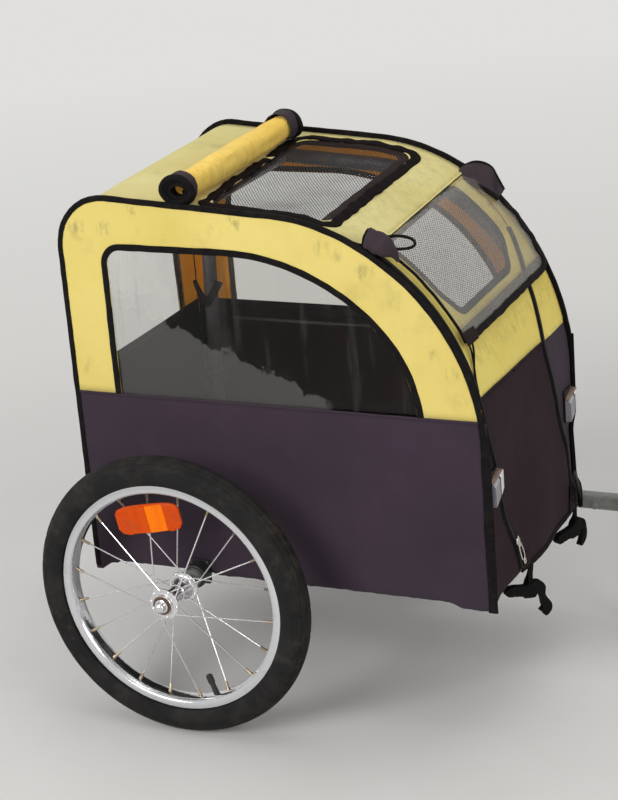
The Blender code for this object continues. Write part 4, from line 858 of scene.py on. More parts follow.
def relief(outer, lay, height, step, base=0.0):
    """A closed body over a flat outline: a face lifted by height(a, b), a skirt and a flat back."""
    spots, faces = cut_cloth(outer, [], step)
    shape, layer = start_shape()
    top = [shape.verts.new(lay(a, b, height(a, b))) for a, b in spots]
    under = [shape.verts.new(lay(a, b, base)) for a, b in spots]
    for face in faces:
        for verts, order in ((top, face), (under, face[::-1])):
            add_face(shape, layer, [verts[i] for i in order], [spots[i] for i in order])
    rim = [edge for edge in shape.edges if len(edge.link_faces) == 1]
    pair = {vert: under[i] for i, vert in enumerate(top)}
    for edge in rim:
        a, b = edge.verts
        if a in pair and b in pair:
            shape.faces.new((a, b, pair[b], pair[a]))
    drop_loose(shape)
    bmesh.ops.recalc_face_normals(shape, faces=shape.faces)
    return shape


def nearest(spot, start, end):
    """The nearest point of a line between two points."""
    line = end - start
    share = min(max((spot - start).dot(line) / max(line.length_squared, 1e-12), 0.0), 1.0)
    return start + line * share


TAPE_SECTION = ((-1.0, 0.5), (-0.86, 0.92), (-0.5, 1.0), (0.0, 1.05), (0.5, 1.0), (0.86, 0.92), (1.0, 0.5),
                (0.86, 0.06), (0.0, 0.0), (-0.86, 0.06))


def edging(name, line, lay, width, thick, body="chassis", look=None, closed=False, wander=0.0004, seed=0.0,
           step=0.006, flip=False):
    """Woven tape with round edges that follows a line on a flat pattern, laid in space by lay(a, b)."""
    spots = spread(line, step, closed)
    rings = []
    reach = 0.002
    for k, (a, b) in enumerate(spots):
        before, after = around(spots, k, closed)
        da, db = after[0] - before[0], after[1] - before[1]
        size = math.hypot(da, db) or 1.0
        na, nb = -db / size, da / size
        centre = lay(a, b)
        across = (lay(a + na * reach, b + nb * reach) - lay(a - na * reach, b - nb * reach)).normalized()
        along = (lay(*after) - lay(*before)).normalized()
        up = along.cross(across) * (-1 if flip else 1)
        shift = wander * ripple(a, b, 60.0, seed)
        swell = 1 + 0.10 * ripple(a, b, 45.0, seed + 7)
        half = (width(a, b) if callable(width) else width) / 2
        rings.append([centre + across * (half * x * swell + shift) + up * (thick * y - thick / 2) * swell
                      for x, y in TAPE_SECTION])
    return finished(name, loft(rings, closed), [look or tape], body)


# The cabin's outline

def corner_height(rear_u, corner_r, pitch, centre_u, centre_h, radius_u, radius_h):
    lean_u, lean_h = math.sin(pitch), math.cos(pitch)
    reach = lean_u * centre_u + lean_h * centre_h + math.hypot(radius_u * lean_u, radius_h * lean_h)
    return (reach - corner_r - lean_u * (rear_u + corner_r)) / lean_h


def outline(shape, inset, start_h, end_h, corner_steps=10, front_steps=40):
    """Points (u, h) up the rear edge, round its corner, along the top, round the front and down."""
    rear_u, corner_r, pitch, centre_u, centre_h, radius_u, radius_h = shape
    lean_u, lean_h = math.sin(pitch), math.cos(pitch)
    corner_u, corner_h = rear_u + corner_r, corner_height(*shape)
    a, b = radius_u - inset, radius_h - inset
    spots = [(rear_u + inset, start_h)]
    spots += arc((corner_u, corner_h), corner_r - inset, math.pi, math.pi / 2 - pitch, corner_steps)
    first = math.atan2(b * lean_h, a * lean_u)
    last = 0.0 if end_h <= centre_h else math.asin((end_h - centre_h) / b)
    for k in range(front_steps + 1):
        angle = first + (last - first) * k / front_steps
        spots.append((centre_u + a * math.cos(angle), centre_h + b * math.sin(angle)))
    if end_h < centre_h:
        spots.append((centre_u + a, end_h))
    return spots


CABIN_SHAPE = (CABIN_REAR_U, REAR_CORNER_R, ROOF_PITCH, FRONT_CENTRE_U, FRONT_CENTRE_H, FRONT_RADIUS_U,
               FRONT_RADIUS_H)
WINDOW_CENTRE_U = FRONT_CENTRE_U - WINDOW_CENTRE_BACK
WINDOW_CENTRE_H = FRONT_CENTRE_H + WINDOW_CENTRE_LIFT
WINDOW_SHAPE = (CABIN_REAR_U + WINDOW_REAR_MARGIN, WINDOW_CORNER_R, WINDOW_PITCH, WINDOW_CENTRE_U,
                WINDOW_CENTRE_H, FRONT_CENTRE_U + FRONT_RADIUS_U - WINDOW_FRONT_MARGIN - WINDOW_CENTRE_U,
                FRONT_CENTRE_H + FRONT_RADIUS_H - WINDOW_TOP_MARGIN - WINDOW_CENTRE_H)
ROOF_REAR_H = corner_height(*CABIN_SHAPE) - ROOF_REAR_HEM


class Track:
    """A (u, h) line that can be read by the distance along it."""

    def __init__(self, spots):
        self.spots = [spots[0]]
        for spot in spots[1:]:
            if math.dist(spot, self.spots[-1]) > 1e-6:
                self.spots.append(spot)
        self.reach = [0.0]
        for here, there in zip(self.spots, self.spots[1:]):
            self.reach.append(self.reach[-1] + math.dist(here, there))
        self.length = self.reach[-1]

    def at(self, s):
        """The point and its direction at a distance. It runs straight on past either end."""
        k = 0
        while k < len(self.spots) - 2 and self.reach[k + 1] < s:
            k += 1
        (a, b), (c, d) = self.spots[k], self.spots[k + 1]
        size = self.reach[k + 1] - self.reach[k]
        t = (s - self.reach[k]) / size
        return a + (c - a) * t, b + (d - b) * t, (c - a) / size, (d - b) / size

    def find(self, wanted, axis, start=0.0):
        """The first distance past start at which the line crosses a value of u (axis 0) or h (axis 1)."""
        for k, (here, there) in enumerate(zip(self.spots, self.spots[1:])):
            if self.reach[k + 1] < start:
                continue
            low, high = sorted((here[axis], there[axis]))
            if low <= wanted <= high and high > low:
                share = (wanted - here[axis]) / (there[axis] - here[axis])
                return self.reach[k] + share * (self.reach[k + 1] - self.reach[k])
        return self.length


skin = Track(outline(CABIN_SHAPE, BINDING, ROOF_REAR_H, CABIN_BOTTOM_H, 14, 60))
S_TOP = skin.find(HEM_U - 0.15, 0, 0.1)
S_HEM = skin.find(HEM_U, 0, S_TOP)
S_HATCH_REAR = skin.find(HATCH_REAR_U, 0, 0.05)
S_HATCH_FRONT = skin.find(HATCH_FRONT_U, 0, 0.05)
S_WAIST_RIGHT = skin.find(WAIST_RIGHT_H, 1, S_HEM)
S_WAIST_LEFT = skin.find(WAIST_LEFT_H, 1, S_HEM)
HEM_H = skin.at(S_HEM)[1]


def drawn(spot):
    """The cabin is drawn forward towards its upper left rear corner."""
    across = (spot.y + CABIN_V) / (2 * CABIN_V)
    rear = smooth((AXLE_X - 0.02 - spot.x) / 0.11)
    return spot + FORWARD * (CORNER_PULL * across * rear * smooth((spot.z - 0.54) / 0.14))


def front_shift(v, h):
    """The front bows forward at its lower hem, and is drawn in at its left edge above that."""
    bow = 0.0095 * math.exp(-((v - 0.015) / 0.075) ** 2) + 0.004 * smooth((v - 0.06) / 0.08)
    dent = 0.0070 * smooth((v - 0.130) / 0.035) * smooth((0.335 - h) / 0.04) * smooth((h - 0.212) / 0.02)
    return bow * smooth((0.36 - h) / 0.15) - dent


def leaned(spot):
    """The cloth sags towards the right near its top."""
    share = smooth((spot.z - LEAN_START_H) / (LEAN_END_H - LEAN_START_H))
    ahead = smooth((spot.x - AXLE_X - 0.37) / 0.03)
    return drawn(spot) + UPWARD * (LEAN * spot.y * share) + FORWARD * (front_shift(spot.y, spot.z) * ahead)


def side_out(u, h):
    """How far a side's cloth stands out of its flat plane."""
    lower = math.sin(math.pi * min(max((h - CABIN_BOTTOM_H) / (WAIST_SIDE_H - CABIN_BOTTOM_H), 0.0), 1.0))
    ends = smooth((u - CABIN_REAR_U) / 0.12) * smooth((FRONT_CENTRE_U + FRONT_RADIUS_U - u) / 0.12)
    hub = 1 - 0.8 * math.exp(-(u / 0.08) ** 2 - ((h - AXLE_H) / 0.07) ** 2)
    out = SIDE_BULGE * lower * ends * hub
    folds = 0.0016 * ripple(u, h, 9.0, 2.0) + 0.0007 * ripple(u, h, 26.0, 5.0)
    return out + folds * ends


def on_side(side, out=0.0):
    def lay(u, h):
        return leaned(point(u, side * (CABIN_V + side_out(u, h) + out), h))
    return lay


def on_skin(lift=0.0, waver=1.0):
    """Lays a pattern of (distance along the roof and front, v) on the roof and front."""
    def lay(s, v):
        u, h, along_u, along_h = skin.at(s)
        edge = smooth((SKIN_V - abs(v)) / 0.05)
        puff = waver * edge * (0.0012 * ripple(s, v, 11.0, 9.0) + 0.0006 * ripple(s, v, 30.0, 3.0))
        out = lift + puff
        return leaned(point(u - along_h * out, v, h + along_u * out))
    return lay


# Sides

def hem_drop(u):
    """How far the ragged lower hem of a side hangs below its even line."""
    front = 0.007 * smooth((u - 0.345) / 0.03)
    rear = 0.011 * smooth((-0.135 - u) / 0.02) - 0.004 * smooth((u + 0.13) / 0.01) * smooth((0.03 - u) / 0.02)
    rough = 0.0012 * ripple(u, 0.0, 60.0, 11.0) + 0.0006 * ripple(u, 0.0, 160.0, 4.0)
    return front + rear + rough


def make_side(side, word):
    flip = side > 0
    lay = on_side(side)
    rim = outline(CABIN_SHAPE, 0.0, CABIN_BOTTOM_H, CABIN_BOTTOM_H)
    rear_u, front_u = rim[0][0], rim[-1][0]
    window = outline(WINDOW_SHAPE, 0.0, WINDOW_SILL_H, WINDOW_SILL_H)
    upper = outline(CABIN_SHAPE, 0.0, WAIST_SIDE_H, WAIST_SIDE_H)
    upper += [(window[-1][0], WAIST_SIDE_H)] + window[::-1][1:-1] + [(window[0][0], WAIST_SIDE_H)]
    cloth(f"side_yellow_{word}", upper, lay, [yellow, gold_inside], replaces=[f"side_panel_{word}"],
          flip=flip)
    notch = 0.0145
    low = [(u, CABIN_BOTTOM_H - hem_drop(u))
           for u in [rear_u + (front_u - rear_u) * k / 120 for k in range(121)]]
    arch = [(notch * math.cos(a), AXLE_H + notch * math.sin(a))
            for a in [math.pi * (1 - k / 10) for k in range(11)]]
    lower = [spot for spot in low if spot[0] < -notch] + arch + [spot for spot in low if spot[0] > notch]
    lower += [(front_u, WAIST_SIDE_H), (rear_u, WAIST_SIDE_H)]
    cloth(f"side_violet_{word}", lower, lay, [violet, spotted_lining], flip=flip)
    middle = outline(CABIN_SHAPE, TAPE_W / 2 - 0.0006, CABIN_BOTTOM_H - 0.006, CABIN_BOTTOM_H - 0.008)
    def binding_w(u, h):
        front = smooth((0.47 - h) / 0.10) * smooth((u - 0.2) / 0.1)
        return TAPE_W + (0.0050 if side < 0 else -0.0050) * front
    edging(f"side_binding_{word}", middle, on_side(side, -0.001), binding_w, 0.0050, flip=flip)
    inner = outline(WINDOW_SHAPE, -0.0045, WINDOW_SILL_H + 0.001, WINDOW_SILL_H + 0.001)
    edging(f"window_binding_{word}", inner, lay, 0.0090, 0.0026, flip=flip, seed=3.0)
    pane = outline(WINDOW_SHAPE, -PANE_LAP, WINDOW_SILL_H - PANE_LAP, WINDOW_SILL_H - PANE_LAP)
    def pane_lay(u, h):
        wave = 0.0022 * ripple(u, h, 14.0, 21.0)
        return leaned(point(u, side * (CABIN_V - 0.0028 + wave * 0.6), h))
    cloth(f"side_pane_{word}", pane, pane_lay, [side_vinyl], replaces=[f"side_window_{word}"],
          thickness=VINYL_T, flip=flip)
    if side > 0:
        inner_hem = [(rear_u + 0.010, WAIST_SIDE_H - 0.004), (front_u - 0.010, WAIST_SIDE_H - 0.004),
                     (front_u - 0.010, INNER_HEM_H), (rear_u + 0.010, INNER_HEM_H)]
        def inner_lay(u, h):
            return point(u, side * (CABIN_V - 0.0046 + 0.0008 * ripple(u, h, 20.0, 23.0)), h)
        cloth(f"inner_hem_{word}", inner_hem, inner_lay, [black_lining], flip=flip)
    edging(f"waist_seam_{word}", [(rear_u + 0.006, WAIST_SIDE_H), (front_u - 0.006, WAIST_SIDE_H)],
           on_side(side, 0.0004), 0.0030, 0.0016, look=violet, flip=flip, wander=0.0002)


def make_post_tie():
    """A webbing tie that hangs across the left rear post, from the cloth on both sides of it."""
    middle_u, reach = -0.126, 0.020
    line = [(middle_u + reach * k / 10, 0.4575 + 0.033 * abs(k / 10) ** 1.15) for k in range(-10, 11)]
    def lay(u, h):
        return point(u, 0.1462 + 0.006 * ((u - middle_u) / reach) ** 2, h)
    edging("post_tie", line, lay, 0.0115, 0.0022, seed=18.0, step=0.004)


for side, word in SIDES:
    make_side(side, word)
make_post_tie()


def soften(corners, radius, steps=6):
    """Rounds the corners of a closed outline."""
    spots = []
    for k, here in enumerate(corners):
        here = Vector(here)
        back, on = [Vector(spot) - here for spot in around(corners, k, True)]
        reach = min(radius, back.length * 0.45, on.length * 0.45)
        start, end = here + back.normalized() * reach, here + on.normalized() * reach
        for t in [step / steps for step in range(steps + 1)]:
            spots.append(tuple(start * (1 - t) ** 2 + here * (2 * t * (1 - t)) + end * t ** 2))
    return spots


# Rear

def on_rear(out=0.0):
    def lay(v, h):
        edge = smooth((SKIN_V - abs(v)) / 0.05)
        belly = 0.004 * math.sin(math.pi * min(max((h - 0.2) / 0.24, 0), 1))
        sag = edge * (belly + 0.0015 * ripple(v, h, 10.0, 31.0))
        return leaned(point(CABIN_REAR_U + BINDING - sag - out, v, h))
    return lay


def make_rear():
    top = ROOF_REAR_H + 0.004
    window_top = ROOF_REAR_H - REAR_WINDOW_DROP
    half = REAR_WINDOW_V - 0.005
    window = soften([(-half, WAIST_REAR_H), (half, WAIST_REAR_H), (half, window_top), (-half, window_top)],
                    0.020)
    upper = [(-SKIN_V, WAIST_REAR_H), (-half, WAIST_REAR_H)] + window[:13:-1]
    upper += [(half, WAIST_REAR_H), (SKIN_V, WAIST_REAR_H), (SKIN_V, top), (-SKIN_V, top)]
    cloth("rear_yellow", upper, on_rear(), [yellow, gold_inside], replaces=["rear_panel"], flip=True)
    lower = [(-SKIN_V, CABIN_BOTTOM_H - 0.004), (SKIN_V, CABIN_BOTTOM_H - 0.004), (SKIN_V, WAIST_REAR_H),
             (-SKIN_V, WAIST_REAR_H)]
    cloth("rear_violet", lower, on_rear(), [violet, black_lining], flip=True)
    lap = rounded((-REAR_WINDOW_V - PANE_LAP, WAIST_REAR_H - PANE_LAP),
                  (REAR_WINDOW_V + PANE_LAP, window_top + PANE_LAP), REAR_WINDOW_CORNER_R)
    cloth("rear_pane", lap, on_rear(-0.0028), [rear_vinyl], replaces=["rear_window"], thickness=VINYL_T,
          flip=True)
    edge = half + 0.008
    line = [(-edge, WAIST_REAR_H), (-edge, window_top - 0.012), (-edge + 0.006, window_top - 0.001),
            (-edge + 0.020, window_top + 0.006)]
    line += [(-v, h) for v, h in line[::-1]]
    edging("rear_window_binding", line, on_rear(-0.0003), 0.0165, 0.0032, seed=5.0)
    for name, h, wide, thick, seed in (("rear_hem_tape", CABIN_BOTTOM_H, 0.0110, 0.0026, 6.0),
                                       ("rear_top_tape", ROOF_REAR_H + 0.002, 0.0080, 0.0030, 8.0)):
        edging(name, [(-SKIN_V, h), (SKIN_V, h)], on_rear(), wide, thick, seed=seed)


make_rear()


# Roof

def hatch_loop(grow, corner):
    """The hatch's outline, moved outwards."""
    return rounded((S_HATCH_REAR - grow, HATCH_RIGHT_V - grow), (S_HATCH_FRONT + grow, HATCH_LEFT_V + grow),
                   corner)


def make_roof():
    roof = [(0.0, -SKIN_V), (S_HEM, -SKIN_V), (S_HEM, SKIN_V), (0.0, SKIN_V)]
    cloth("roof_skin", roof, on_skin(), [roof_cloth, gold_inside], replaces=["roof_panel"],
          holes=[hatch_loop(0.0, HATCH_CORNER_R)])
    hole = rounded((S_HATCH_REAR + 0.004, HATCH_RIGHT_V + 0.004),
                   (S_HATCH_FRONT - 0.015, HATCH_LEFT_V - 0.013), 0.010)
    def sagging(s, v):
        inward = min(S_HATCH_FRONT - s, HATCH_LEFT_V - v, 0.020)
        return on_skin(-0.0006)(s, v) - UPWARD * (0.20 * max(inward, 0.0) + 0.0012 * ripple(s, v, 40.0, 45.0))
    edge = hatch_loop(0.003, HATCH_CORNER_R - 0.004)
    border = cloth("hatch_border", edge, sagging, [border_cloth, black_lining], holes=[hole], step=0.006)
    def wavy(s, v):
        spot = on_skin()(s, v)
        return spot + UPWARD * (0.0022 * ripple(s, v, 28.0, 41.0) + 0.0012 * ripple(s, v, 70.0, 43.0))
    edging("hatch_binding", hatch_loop(0.006, HATCH_CORNER_R - 0.006), wavy, 0.0150, 0.0036,
           look=black_lining, closed=True, wander=0.0020, seed=9.0, step=0.004)
    seam = [(S_HEM - 0.001, -SKIN_V + 0.003), (S_HEM - 0.001, SKIN_V - 0.003)]
    edging("hem_seam", seam, on_skin(0.0005), 0.0030, 0.0018, look=roof_cloth, wander=0.0002)


make_roof()


def in_loop_spans(loop, fixed, slope):
    """Where a slanted line b = fixed + slope * a crosses a closed outline, as sorted a values."""
    cuts = []
    for k, (a2, b2) in enumerate(loop):
        a1, b1 = loop[k - 1]
        d1, d2 = b1 - fixed - slope * a1, b2 - fixed - slope * a2
        if (d1 > 0) != (d2 > 0):
            cuts.append(a1 + (a2 - a1) * d1 / (d1 - d2))
    return sorted(cuts)


def netting(name, loop, lay, body, replaces):
    """Lozenge mesh of crossing threads over a flat outline. Both families keep the same pitch."""
    slope, piece_step, thread_w, thread_t = 1.35, 0.007, 0.00085, 0.00045
    shapes = []
    low_a, high_a, low_b, high_b = extent(loop)
    rise = NET_PITCH * math.hypot(1, slope)
    for family, tilt in enumerate((slope, -slope)):
        ends = [low_b - tilt * low_a, low_b - tilt * high_a, high_b - tilt * low_a, high_b - tilt * high_a]
        fixed = min(ends) + rise / 2
        while fixed < max(ends):
            cuts = in_loop_spans(loop, fixed, tilt)
            for start, end in zip(cuts[::2], cuts[1::2]):
                run = (end - start) * math.hypot(1, tilt)
                if run < 0.001:
                    continue
                count = max(1, round(run / piece_step))
                line = []
                for k in range(count + 1):
                    a = start + (end - start) * k / count
                    line.append((a, fixed + tilt * a))
                rings = []
                for k, (a, b) in enumerate(line):
                    before, after = around(line, k)
                    along = (lay(*after) - lay(*before)).normalized()
                    centre = lay(a, b)
                    normal = (lay(a + 0.002, b) - centre).cross(lay(a, b + 0.002) - centre).normalized()
                    across = normal.cross(along).normalized()
                    lift = normal * (thread_t * 0.45 * (1 if family else -1))
                    rings.append([centre + lift + across * (x * thread_w / 2) + normal * (y * thread_t / 2)
                                  for x, y in ((1, 0), (0, 1), (-1, 0), (0, -1))])
                shapes.append(loft(rings))
            fixed += rise
    made = finished(name, together(shapes), [thread], body, replaces)


def make_hatch_net():
    middle_s, half_s = (S_HATCH_REAR + S_HATCH_FRONT) / 2, (S_HATCH_FRONT - S_HATCH_REAR) / 2
    middle_v, half_v = (HATCH_RIGHT_V + HATCH_LEFT_V) / 2, (HATCH_LEFT_V - HATCH_RIGHT_V) / 2
    def lay(s, v):
        a, b = (s - middle_s) / half_s, (v - middle_v) / half_v
        sag = 0.009 * max(0.0, 1 - a * a) * max(0.0, 1 - b * b) + 0.0012 * ripple(s, v, 18.0, 51.0)
        return on_skin(-0.0024)(s, v) - UPWARD * sag
    netting("hatch_mesh", hatch_loop(0.003, HATCH_CORNER_R + 0.003), lay, "chassis", ["hatch_net"])


make_hatch_net()


# Rolled hatch cover

def roll_u(v):
    """The roll lies askew, further back at its right end."""
    return ROLL_U - ROLL_SKEW * (ROLL_LEFT_V - v) / (ROLL_LEFT_V - ROLL_RIGHT_V)


ROLL_BASE_H = skin.at(S_HATCH_REAR - 0.016)[1]
ROLL_H = ROLL_BASE_H + ROLL_R + ROLL_LIFT


def make_roll():
    """The hatch cover, rolled towards the rear round its own turns, with bound ends."""
    turns, steps, rows = 2.25, 28, 44
    sheet_t, pitch = 0.0016, 0.0036
    count = round(turns * steps)
    shape, layer = start_shape()
    sheets = []
    for under in (0.0, sheet_t):
        grid = []
        for row in range(rows + 1):
            v = ROLL_RIGHT_V + (ROLL_LEFT_V - ROLL_RIGHT_V) * row / rows
            line = []
            for k in range(count + 1):
                angle = 2 * math.pi * k / steps - math.pi / 2
                radius = ROLL_R - 0.0006 - pitch * k / steps - under
                loose = 0.0016 * ripple(v, angle, 9.0, 61.0) * (1 - 0.5 * k / count)
                dent = 0.0010 * ripple(v, angle * 3, 40.0, 63.0)
                middle = 0.0015 * math.sin(math.pi * row / rows)
                squeeze = 1 - 0.12 * math.cos(2 * angle) * (0.6 + 0.4 * ripple(v, 0.0, 20.0, 66.0))
                radius = (radius + loose + dent + middle) * ROLL_TIGHT
                u = roll_u(v) + radius * math.cos(angle) * squeeze
                h = ROLL_H + radius * math.sin(angle) / squeeze
                line.append(shape.verts.new(leaned(point(u, v, h))))
            grid.append(line)
        sheets.append(grid)
    outer, inner = sheets
    wide = (ROLL_LEFT_V - ROLL_RIGHT_V) / rows
    for row in range(rows):
        for k in range(count):
            spots = ((k * 0.004, row * wide), ((k + 1) * 0.004, row * wide),
                     ((k + 1) * 0.004, (row + 1) * wide), (k * 0.004, (row + 1) * wide))
            bound = row < 2 or row >= rows - 2 or k >= count - 2
            for grid in sheets:
                add_face(shape, layer,
                         (grid[row][k], grid[row][k + 1], grid[row + 1][k + 1], grid[row + 1][k]),
                         spots, int(bound))
    for row in (0, rows):
        for k in range(count):
            add_face(shape, layer, (outer[row][k], outer[row][k + 1], inner[row][k + 1], inner[row][k]),
                     ((0, 0),) * 4, 1)
    for row in range(rows):
        for k in (0, count):
            add_face(shape, layer, (outer[row][k], outer[row + 1][k], inner[row + 1][k], inner[row][k]),
                     ((0, 0),) * 4, 1)
    bmesh.ops.recalc_face_normals(shape, faces=shape.faces)
    made = finished("rolled_cover", shape, [roll_cloth_lit, tape], "chassis", ["hatch_roll"])
    make_roll_end(ROLL_RIGHT_V - 0.001, 1, "right")
    make_roll_end(ROLL_LEFT_V + 0.001, -1, "left")
    make_roll_strap(ROLL_RIGHT_V + 0.002, ROLL_RIGHT_V + 0.016, "right")
    make_roll_strap(ROLL_LEFT_V - 0.024, ROLL_LEFT_V - 0.002, "left")


def make_roll_end(v, inward, word):
    """The bound end of the roll, as rings of tape in one another."""
    rings = []
    for radius_u, radius_h, thick, u, h in ((0.0200, 0.0160, 0.0046, 0.0, 0.0005),
                                            (0.0195, 0.0150, 0.0040, 0.003, -0.0020),
                                            (0.0125, 0.0090, 0.0030, 0.002, -0.0010)):
        loop = []
        for a in circle(48):
            uneven = 1 + 0.05 * ripple(a, radius_u * 90, 1.1, 67.0)
            loop.append(leaned(point(roll_u(v) + u + radius_u * uneven * math.cos(a), v + inward * 0.6 * u,
                                     ROLL_H + h + radius_h * uneven * math.sin(a))))
        sizes = [thick * (1 + 0.16 * ripple(k * 0.13, radius_h * 90, 1.4, 68.0)) for k in range(48)]
        rings.append(cable(loop, sizes, 10, closed=True))
    finished(f"roll_end_{word}", together(rings), [tape], "chassis")


def make_roll_strap(start_v, end_v, word):
    """A cloth strap round one end of the roll, sewn down on the roof behind it."""
    rings = []
    columns = range(7)
    for k in range(31):
        angle = math.radians(-60 + 285 * k / 30)
        ring = []
        for lift, order in ((0.0, columns), (0.0012, columns[::-1])):
            for column in order:
                v = start_v + (end_v - start_v) * column / 6
                radius = ROLL_R + 0.0010 + lift + 0.0008 * ripple(v, angle, 22.0, 71.0)
                ring.append(leaned(point(roll_u(v) + radius * math.cos(angle), v,
                                         ROLL_H + radius * math.sin(angle) * 0.98)))
        rings.append(ring)
    made = finished(f"roll_strap_{word}", loft(rings), [strap_violet], "chassis")


make_roll()


# Front

def reader(route):
    """Reads v at a height off a zip's route, as a smooth line."""
    line = curve_through([Vector((h, v)) for h, v in route], 8)
    def read(h):
        if h >= line[0].x:
            return line[0].y
        for here, there in zip(line, line[1:]):
            if there.x <= h <= here.x:
                return here.y + (there.y - here.y) * (here.x - h) / (here.x - there.x)
        return line[-1].y
    return read


right_zip = reader(RIGHT_ZIP)
left_zip = reader(LEFT_ZIP)
S_FRONT_END = skin.length
DOOR_TOP_S = S_HEM + 0.002


def zip_line(read, start_s, end_s, shift, count):
    spots = []
    for k in range(count + 1):
        s = start_s + (end_s - start_s) * k / count
        spots.append((s, read(skin.at(s)[1]) + shift))
    return spots


def front_hem(v):
    """Distance down the front at which its lower hem hangs, ragged and lower at the right corner."""
    corner = 0.010 * smooth((-v - 0.135) / 0.035) + 0.004 * smooth((v - 0.140) / 0.035)
    return S_FRONT_END - 0.001 + corner + 0.0012 * ripple(v, 0.0, 50.0, 81.0)


def waist_s(v):
    share = (v + CABIN_V) / (2 * CABIN_V)
    return S_WAIST_RIGHT + (S_WAIST_LEFT - S_WAIST_RIGHT) * share


def between(lower, upper, count=24):
    """Points across the front from v = lower to v = upper."""
    return [lower + (upper - lower) * k / count for k in range(count + 1)]


def make_front():
    lay = on_skin()
    gap = 0.0018
    # The right corner takes the darker front violet, which is painted shade.
    for (side, word), read, outer_look in zip(SIDES, (right_zip, left_zip), (front_violet_shaded, violet)):
        start_s = waist_s(side * 0.15)
        edge = side * SKIN_V
        upper = [(DOOR_TOP_S, edge)]
        upper += zip_line(read, DOOR_TOP_S, start_s, side * gap, 30) + [(waist_s(edge), edge)]
        low = zip_line(read, start_s, S_FRONT_END, side * gap, 50)
        hem = [(front_hem(v), v) for v in between(low[-1][1], edge, 16)]
        cloth(f"corner_yellow_{word}", upper, lay, [front_yellow, gold_inside], step=0.007,
              replaces=[f"front_corner_{word}"])
        cloth(f"corner_violet_{word}", [(waist_s(edge), edge)] + low + hem, lay, [outer_look, black_lining],
              step=0.007)
    top_s = S_HEM + 0.004
    sill_s = skin.find(HEM_H - DOOR_WINDOW_DROP - DOOR_WINDOW_TALL, 1, S_HEM)
    (top_right, top_left), (sill_right, sill_left) = DOOR_WINDOW_TOP_V, DOOR_WINDOW_SILL_V
    bend_s = top_s + 0.7 * (sill_s - top_s)
    window = soften([(top_s, top_right), (bend_s, top_right), (sill_s, sill_right), (sill_s, sill_left),
                     (bend_s, top_left), (top_s, top_left)], 0.012)
    (right_high, right_low), (left_high, left_low) = [
        (zip_line(read, DOOR_TOP_S, start_s, shift, 30), zip_line(read, start_s, S_FRONT_END, shift, 50))
        for read, start_s, shift in ((right_zip, waist_s(-0.15), gap), (left_zip, waist_s(0.1), -gap))]
    right_v, left_v = right_high[-1][1], left_high[-1][1]
    waist = [(waist_s(v), v) for v in between(right_v, left_v)]
    hem = [(front_hem(v), v) for v in between(right_low[-1][1], left_low[-1][1])]
    cloth("door_yellow", right_high + waist[1:-1] + left_high[::-1], lay, [front_yellow, gold_inside],
          "front_door", ["front_door"], holes=[window])
    # The door's violet and its waist seam take the darker front violet, which is painted shade.
    cloth("door_violet", right_low + hem[1:-1] + left_low[::-1] + waist[::-1][1:-1], lay,
          [front_violet_shaded, black_lining], "front_door")
    edging("door_window_binding", window, lay, 0.0095, 0.0024, "front_door", closed=True, seed=12.0)
    netting("door_mesh", window, on_skin(-0.0026), "front_door", ["door_net"])
    edging("waist_seam_front", [(waist_s(v), v) for v in between(right_v + 0.004, left_v - 0.004)],
           on_skin(0.0004), 0.0028, 0.0014, "front_door", front_violet_shaded, wander=0.0002)
    edging("door_hem_tape", hem, lay, 0.0085, 0.0034, "front_door", seed=14.0)


make_front()


def make_zips():
    """Each zip is two woven tapes with a coil between them."""
    left_start = skin.find(LEFT_ZIP_TOP_H, 1, S_HEM)
    for read, word, start_s in ((right_zip, "right", DOOR_TOP_S + 0.002), (left_zip, "left", left_start)):
        line = zip_line(read, start_s, S_FRONT_END - 0.006, 0.0, 90)
        edging(f"zip_tape_{word}", line, on_skin(0.0006), 0.0120, 0.0014, seed=16.0)
        coil = [on_skin(0.0019)(s, v) for s, v in line]
        finished(f"zip_coil_{word}", cable(coil, 0.0016, 8), [black_moulding], "chassis")


make_zips()


# Rain cover

COVER_END_S = skin.find(HEM_H - COVER_DROP, 1, S_HEM)


def on_cover(out=0.0):
    """The cover hangs clear of the door, and stands off more along its left edge."""
    def lay(s, v):
        share = (s - S_HEM) / (COVER_END_S - S_HEM)
        left = smooth((v - 0.06) / 0.10) * smooth(share / 0.3)
        wave = 0.0016 * ripple(s, v, 16.0, 91.0) + 0.0014 * math.sin(s * 180) * smooth((v - 0.13) / 0.04)
        lift = 0.0015 + (0.0070 - 0.0020 * left + wave) * smooth(share / 0.15)
        return on_skin(lift + out, 0.0)(s, v)
    return lay


